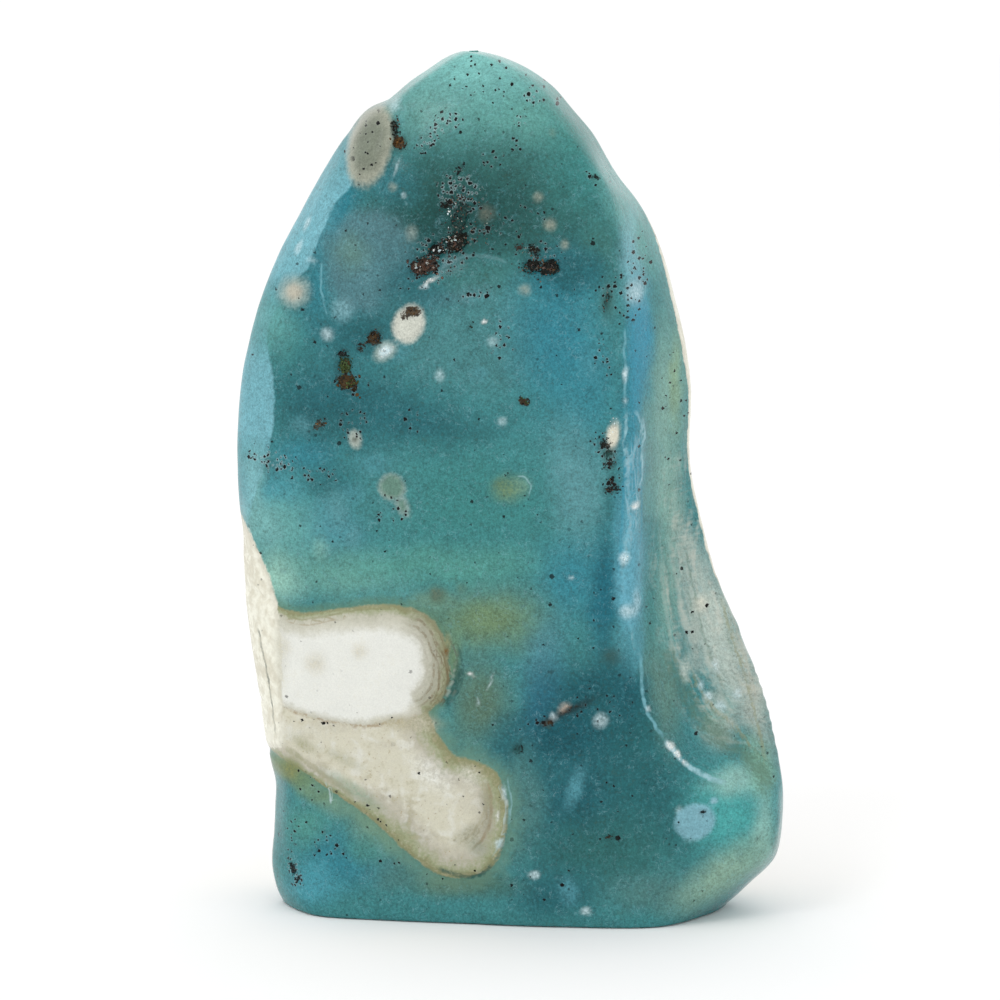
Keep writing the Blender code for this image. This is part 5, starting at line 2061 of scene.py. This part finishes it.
    def faces(self, rows: int, base_rows: int) -> list[tuple[int, ...]]:
        """Joins the points.

        Args:
            rows: Rows of the side, with the worn edge.
            base_rows: Rows of the base inside the edge.

        Returns:
            Faces that look outwards. The last two points are the top and the base's middle.
        """
        count = self.columns
        top = (rows + base_rows) * count
        ring = [(here, (here + 1) % count) for here in range(count)]
        sides = [row * count for row in range(rows)]
        flats = [0] + [(rows + k) * count for k in range(base_rows)]
        found = []
        for low, high in zip(sides, sides[1:]):
            found += [(low + here, low + on, high + on, high + here) for here, on in ring]
        for outer, inner in zip(flats, flats[1:]):
            found += [(outer + here, inner + here, inner + on, outer + on) for here, on in ring]
        for here, on in ring:
            found.append((sides[-1] + here, sides[-1] + on, top))
            found.append((flats[-1] + on, flats[-1] + here, top + 1))
        return found

    def unwrap(self, mesh: bpy.types.Mesh, rows: int, base_rows: int) -> None:
        """Lays the skin flat: the face on the left, the back beside it and the base under that.

        Args:
            mesh: The skin's mesh.
            rows: Rows of the side, with the worn edge.
            base_rows: Rows of the base inside the edge.
        """
        count, front = self.columns, self.front_columns
        places = points_of(mesh)
        corners = np.zeros(len(mesh.loops), int)
        mesh.loops.foreach_get("vertex_index", corners)
        sides = np.zeros(len(mesh.polygons), int)
        mesh.polygons.foreach_get("loop_total", sides)
        owner = np.repeat(np.arange(len(mesh.polygons)), sides)
        first = corners[np.cumsum(sides) - sides]
        quads = (rows - 1) * count
        side_face = owner < quads
        fan_face = (owner >= quads + base_rows * count) & (sides[owner] == 3)
        up_fan = fan_face & ((owner - quads - base_rows * count) % 2 == 0)
        start = first[owner] % count
        column = corners % count
        column = np.where((column == 0) & (start == count - 1), count, column)
        row = corners // count
        is_top = corners == (rows + base_rows) * count
        column = np.where(is_top, start + 0.5, column)
        row = np.where(is_top, rows - 1, row)
        behind = start >= front
        share = np.where(behind, (column - front) / self.back_columns, column / front)
        up = row / (rows - 1)
        on_face = np.stack(self.face_sheet.at(share, up), axis=1)
        on_back = np.stack(self.back_sheet.at(share, up), axis=1)
        on_base = np.array(self.base_place) + places[corners, :2] * self.base_scale
        layout = np.where(behind[:, None], on_back, on_face)
        layout = np.where((side_face | up_fan)[:, None], layout, on_base)
        layer = mesh.uv_layers.new(name="OFBake")
        layer.data.foreach_set("uv", layout.astype(np.float32).ravel())

    def build(self, solid: bpy.types.Object) -> bpy.types.Object:
        """Draws the skin over the solid.

        Args:
            solid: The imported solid.

        Returns:
            The skin, with the values that its finish reads.
        """
        sections, apex = self.read_solid(solid)
        rows = self.even_rings(self.even_columns(sections))
        rows = self.soften(rows, apex)
        out = self.outward(rows)
        relief = Relief(self.chart(rows, out)).height().reshape(rows.shape[:2])
        rows = rows + out * relief[:, :, None]
        worn, base = self.foot(rows)
        side = np.concatenate([worn, rows])
        side_out = np.concatenate([out[:1], out[:1], out])
        chart = self.chart(side, side_out)
        count = len(base) * self.columns
        peak = rows[-1].mean(axis=0)
        middle = np.array([*worn[0].mean(axis=0)[:2], 0.0])
        points = np.vstack([chart.points, base.reshape(-1, 3), peak, middle])
        behind = np.append(np.full(count, OUTSIDE), [-OUTSIDE, OUTSIDE])
        facing = np.append(np.zeros(count), [1.0, 0.0])
        whole = Chart(
            points,
            np.append(chart.to_left, behind),
            np.append(chart.to_right, behind),
            np.append(chart.facing, facing),
        )
        mesh = bpy.data.meshes.new("stone_skin")
        mesh.from_pydata((points * MM).tolist(), [], self.faces(len(side), len(base)))
        mesh.shade_smooth()
        self.unwrap(mesh, len(side), len(base))
        heights = np.concatenate([np.zeros(2 * self.columns), relief.ravel(), np.zeros(count + 2)])
        Tints(whole).write(mesh, heights)
        return bpy.data.objects.new("stone_skin", mesh)

    def dress(self, skin: bpy.types.Object) -> None:
        """Gives the skin its finish and its place in the frame."""
        skin.data.materials.append(StoneFinish().material())
        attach(skin, BODY)
        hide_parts(NODE)


@dataclass
class Surface:
    """The finished skin, as something that small crystals can stand on."""

    skin: bpy.types.Object

    def __post_init__(self) -> None:
        """Makes the tree that finds points on the skin."""
        mesh = self.skin.data
        places = [vertex.co / MM for vertex in mesh.vertices]
        self.tree = BVHTree.FromPolygons(places, [tuple(face.vertices) for face in mesh.polygons])

    def at(self, x: float, z: float) -> tuple[Vector, Vector]:
        """The face's point in front of a place, and its outward direction.

        Args:
            x: The place across the face.
            z: Its height.

        Returns:
            The point and the direction, in millimetres.
        """
        point, out, *_ = self.tree.ray_cast(Vector((x, -60.0, z)), Vector((0, 1, 0)))
        if point is None:
            point, out, *_ = self.tree.find_nearest(Vector((x, -12.0, z)))
        return point, out


@dataclass(frozen=True)
class Cluster:
    """Crystals that stand together.

    Attributes:
        spot: Where they stand.
        count: How many there are.
        size: Half the length of a middling crystal, in millimetres.
        tones: Their tones, picked at random.
        sunk: How deep a crystal's middle lies under the skin, as a share of its size.
    """

    spot: Spot
    count: int
    size: float
    tones: tuple[Tone, ...]
    sunk: float = 0.25


# Tones for the crystals. The silver, grey, frost and white ones among the sparkling and glinting tones
# are painted glints: pale crystals set where the crust sparkles.
DARK = (Tone.BLACK, Tone.BLACK, Tone.UMBER, Tone.UMBER, Tone.BROWN)
SPARKLING = DARK + DARK + (Tone.PINK_BROWN,) * 2 + (Tone.SILVER, Tone.DUST, Tone.PINK_BROWN)
GLINTING = (Tone.FROST, Tone.SILVER, Tone.WHITE)
EARTHY = (Tone.OCHRE, Tone.RUST, Tone.RUST, Tone.BROWN, Tone.UMBER)
MOSSY = (Tone.MOSS_BROWN, Tone.FERN, Tone.UMBER, Tone.FERN, Tone.RUST)
SNOWY = (Tone.WHITE, Tone.FROST, Tone.IVORY)


def five_corners(start: float, height: float) -> list[tuple[float, float, float]]:
    """Five corners of a crystal on one level, the first a share of a step round from X."""
    radius = (1 - height * height) ** 0.5
    turns = [tau * (k + start) / 5 for k in range(5)]
    return [(cos(turn) * radius, sin(turn) * radius, height) for turn in turns]


@dataclass
class Crystals:
    """Small crystals joined in one mesh.

    Attributes:
        name: The piece's name.
        clusters: Where its crystals stand.
        finish: Their finish.
        flatness: How flat a crystal is, as a share of its length.
        seed: What sets the random numbers going.
        spread: How far crystals stray from the middle of their spot, as a share of its size.
    """

    name: str
    clusters: tuple[Cluster, ...]
    finish: CrystalFinish
    flatness: float
    seed: int
    spread: float = 0.55

    CORNERS = np.array([(0, 0, 1), *five_corners(0, 0.447), *five_corners(0.5, -0.447), (0, 0, -1)])

    @staticmethod
    def sides() -> list[tuple[int, int, int]]:
        """The twenty faces between the corners.

        Returns:
            Three corners' numbers for each face.
        """
        found = []
        for k in range(5):
            on = (k + 1) % 5
            found += [(0, 1 + k, 1 + on), (1 + k, 6 + k, 1 + on)]
            found += [(1 + on, 6 + k, 6 + on), (11, 6 + on, 6 + k)]
        return found

    def build(self, surface: Surface) -> bpy.types.Object:
        """Grows the crystals.

        Args:
            surface: What they stand on.

        Returns:
            The joined mesh.
        """
        random = np.random.default_rng(self.seed)
        points, faces, tints = [], [], []
        for cluster in self.clusters:
            for _ in range(cluster.count):
                lean = radians(cluster.spot.turn)
                across = random.normal() * self.spread * cluster.spot.half_width
                up = random.normal() * self.spread * cluster.spot.half_height
                x = cluster.spot.x + across * cos(lean) - up * sin(lean)
                z = cluster.spot.z + across * sin(lean) + up * cos(lean)
                centre, out = surface.at(x, z)
                size = cluster.size * random.uniform(0.45, 1.5)
                shape = self.CORNERS * random.uniform(0.72, 1.15, (len(self.CORNERS), 1))
                shape = shape * np.array([1.0, random.uniform(0.55, 0.9), self.flatness])
                spin, _ = np.linalg.qr(random.normal(size=(3, 3)))
                spin[:, 0] *= np.sign(np.linalg.det(spin))
                middle = np.array(centre) - np.array(out) * size * cluster.sunk
                first = len(points)
                points.extend((shape @ spin.T * size + middle) * MM)
                faces.extend(tuple(first + corner for corner in side) for side in self.sides())
                tone = cluster.tones[random.integers(len(cluster.tones))]
                tint = tone.pigment * random.uniform(0.7, 1.3)
                tints.extend([(*np.clip(tint, 0, 1), 1.0)] * len(self.CORNERS))
        mesh = bpy.data.meshes.new(self.name)
        mesh.from_pydata([tuple(point) for point in points], [], faces)
        store(mesh, "grain_tone", np.array(tints))
        return bpy.data.objects.new(self.name, mesh)

    def dress(self, piece: bpy.types.Object) -> None:
        """Gives the crystals their finish and their place in the frame."""
        piece.data.materials.append(self.finish.material())
        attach(piece, BODY)


DARK_CRYSTALS = (
    Cluster(Spot(-8.6, 65, 1.5, 0.9, 8), 70, 0.17, SPARKLING + (Tone.PINKISH,)),
    Cluster(Spot(-7.2, 66.6, 0.9, 0.75, 10), 44, 0.15, SPARKLING),
    Cluster(Spot(-5.4, 67.3, 1.4, 1, 25), 70, 0.15, SPARKLING),
    # Clusters of glinting tones: pale crystals set where the crust sparkles, as painted glints.
    Cluster(Spot(-7.4, 66.6, 0.6, 0.35), 5, 0.15, GLINTING, -0.2),
    Cluster(Spot(-8.9, 65.2, 1.1, 0.6, 8), 7, 0.13, GLINTING, -0.2),
    Cluster(Spot(-5.7, 67.5, 0.8, 0.5, 20), 6, 0.13, GLINTING, -0.2),
    Cluster(Spot(-5.9, 70.2, 0.4, 1.1, -20), 7, 0.12, GLINTING, -0.2),
    Cluster(Spot(-5.1, 70.3, 1, 2.2, -18), 80, 0.11, SPARKLING),
    Cluster(Spot(-5.8, 71.6, 1.7, 1, 10), 36, 0.10, DARK),
    Cluster(Spot(-3.4, 68.6, 2.2, 1.5, 10), 44, 0.10, SPARKLING),
    Cluster(Spot(2, 65.1, 1, 0.7, -4), 44, 0.15, DARK + (Tone.PINK_BROWN, Tone.DUST)),
    Cluster(Spot(3.6, 65, 1.1, 0.8, 4), 50, 0.16, DARK + (Tone.RUST, Tone.PINK_BROWN)),
    Cluster(Spot(2, 66.5, 1, 0.6, -25), 34, 0.12, DARK + (Tone.DUST,)),
    Cluster(Spot(-11.3, 78.4, 0.34, 0.85, 4), 18, 0.14, DARK),
    Cluster(Spot(-16.5, 56.4, 0.6, 0.3, 15), 14, 0.12, (Tone.BLACK,)),
    Cluster(Spot(9.2, 47.9, 0.55, 0.85, 20), 26, 0.12, DARK + (Tone.DUST,)),
    Cluster(Spot(9.6, 45.9, 0.6, 0.45, 25), 22, 0.13, DARK),
    Cluster(Spot(9.7, 44.1, 0.32, 0.6), 12, 0.13, DARK),
    Cluster(Spot(9.6, 43.4, 0.75, 0.3), 14, 0.13, DARK),
    Cluster(Spot(9.1, 61.8, 0.3, 1.15, -12), 18, 0.11, DARK + (Tone.DUST,)),
    Cluster(Spot(-21.8, 4.4, 0.55, 1.15, 22), 26, 0.09, (Tone.BLACK,)),
    Cluster(Spot(-13.4, 58, 0.7, 0.65, 30), 22, 0.14, DARK + (Tone.RUST,)),
)
EARTH = (
    Cluster(Spot(-10.9, 76.8, 0.65, 0.55, -20), 22, 0.18, EARTHY),
    Cluster(Spot(-9.8, 60.6, 0.75, 0.26, 12), 16, 0.12, (Tone.BROWN, Tone.UMBER, Tone.RUST)),
    Cluster(Spot(-16.3, 55.2, 0.6, 0.9, -10), 30, 0.16, MOSSY),
    Cluster(Spot(-15.8, 53.4, 1.05, 0.7, -35), 36, 0.17, MOSSY + (Tone.RUST,)),
    Cluster(Spot(-18.8, 49.4, 0.65, 0.3, 35), 10, 0.12, EARTHY + (Tone.DUST,)),
    Cluster(Spot(1.2, 52, 0.6, 0.35, -32), 10, 0.13, MOSSY),
)
# White crystals: partly real druse, partly painted glints set where the polish shines.
DRUSE_AND_GLINTS = (
    Cluster(Spot(-12.3, 56.9, 0.9, 0.45, 35), 20, 0.10, SNOWY, 0.5),
    Cluster(Spot(16.2, 17.4, 0.95, 0.3, -52), 24, 0.10, SNOWY, 0.5),
    Cluster(Spot(11.9, 41.8, 0.4, 0.3), 8, 0.09, SNOWY, 0.5),
    Cluster(Spot(11, 36.7, 0.4, 0.4), 8, 0.09, SNOWY, 0.5),
    Cluster(Spot(-8, 63.8, 0.7, 0.18, 28), 12, 0.09, SNOWY, 0.5),
    Cluster(Spot(9.8, 49.4, 0.45, 0.9, -8), 12, 0.10, SNOWY, 0.5),
)


@dataclass
class Studio:
    """A pale floor, soft white light all round and the camera.

    Attributes:
        target: The point that the camera looks at, in metres.
        distance: How far the camera stands from it.
        elevation: How steeply it looks down, in degrees.
        lens: Its focal length in millimetres.
        room_light: How bright the white room is.
        key_power: The soft lamp's power in watts.
        key_size: How wide the lamp is, in metres.
        key_place: Where it hangs.
        floor_half: Half the floor's width.
        floor_gap: How far the floor lies under the stone.
    """

    target: tuple[float, float, float] = (-0.00115, -0.0018, 0.0410)
    distance: float = 0.375
    elevation: float = 8.0
    lens: float = 135.0
    room_light: float = 1.05
    key_power: float = 1.2
    key_size: float = 0.30
    key_place: tuple[float, float, float] = (-0.45, -0.55, 0.75)
    floor_half: float = 4.0
    floor_gap: float = 0.0001

    def floor(self) -> None:
        """Lays the floor."""
        half = self.floor_half
        corners = [(-half, -half, 0), (half, -half, 0), (half, half, 0), (-half, half, 0)]
        mesh = bpy.data.meshes.new("floor")
        mesh.from_pydata(corners, [], [(0, 1, 2, 3)])
        mesh.materials.append(FloorFinish().material())
        floor = bpy.data.objects.new("floor", mesh)
        floor.location.z = -self.floor_gap
        bpy.context.scene.collection.objects.link(floor)

    def light(self) -> None:
        """Lights the room evenly, with one large soft lamp from the upper left."""
        world = bpy.data.worlds.new("white_room")
        world.use_nodes = True
        background = world.node_tree.nodes["Background"]
        background.inputs["Color"].default_value = (1, 1, 1, 1)
        background.inputs["Strength"].default_value = self.room_light
        bpy.context.scene.world = world
        lamp = bpy.data.lights.new("key", "AREA")
        lamp.energy = self.key_power
        lamp.size = self.key_size
        key = bpy.data.objects.new("key", lamp)
        key.location = self.key_place
        aim = Vector(self.target) - key.location
        key.rotation_euler = aim.to_track_quat("-Z", "Y").to_euler()
        bpy.context.scene.collection.objects.link(key)

    def camera(self) -> None:
        """Sets the camera up where the picture was taken from."""
        tilt = radians(self.elevation)
        lens = bpy.data.cameras.new("camera")
        lens.lens = self.lens
        lens.sensor_width = 36.0
        lens.clip_start = 0.01
        camera = bpy.data.objects.new("camera", lens)
        back = Vector((0, -cos(tilt), sin(tilt))) * self.distance
        camera.location = Vector(self.target) + back
        camera.rotation_euler = (pi / 2 - tilt, 0, 0)
        scene = bpy.context.scene
        scene.collection.objects.link(camera)
        scene.camera = camera
        scene.view_settings.view_transform = "Standard"


def main() -> None:
    """Builds the studio, the skin and the crystals, in that order."""
    noise.seed_set(NOISE_SEED)
    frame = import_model()
    studio = Studio()
    studio.camera()
    studio.floor()
    studio.light()
    stone = StoneSkin()
    skin = stone.build(frame["nodes"][NODE])
    bpy.context.scene.collection.objects.link(skin)
    stone.dress(skin)
    log.info("%s: %d faces", skin.name, len(skin.data.polygons))
    surface = Surface(skin)
    for crystals in (
        Crystals("dark_crystals", DARK_CRYSTALS, CrystalFinish("dark_crystal", 0.28, 0.6), 0.6, 3),
        Crystals("earthy_crust", EARTH, CrystalFinish("earthy_crust", 0.65, 0.3), 0.8, 5),
        Crystals("white_druse_and_glints", DRUSE_AND_GLINTS, CrystalFinish("white_druse_and_glints", 0.35, 0.5), 0.8, 7),
    ):
        piece = crystals.build(surface)
        bpy.context.scene.collection.objects.link(piece)
        crystals.dress(piece)
        log.info("%s: %d faces", piece.name, len(piece.data.polygons))


if __name__ == "__main__":
    logging.basicConfig(level=logging.INFO, format="%(message)s")
    main()
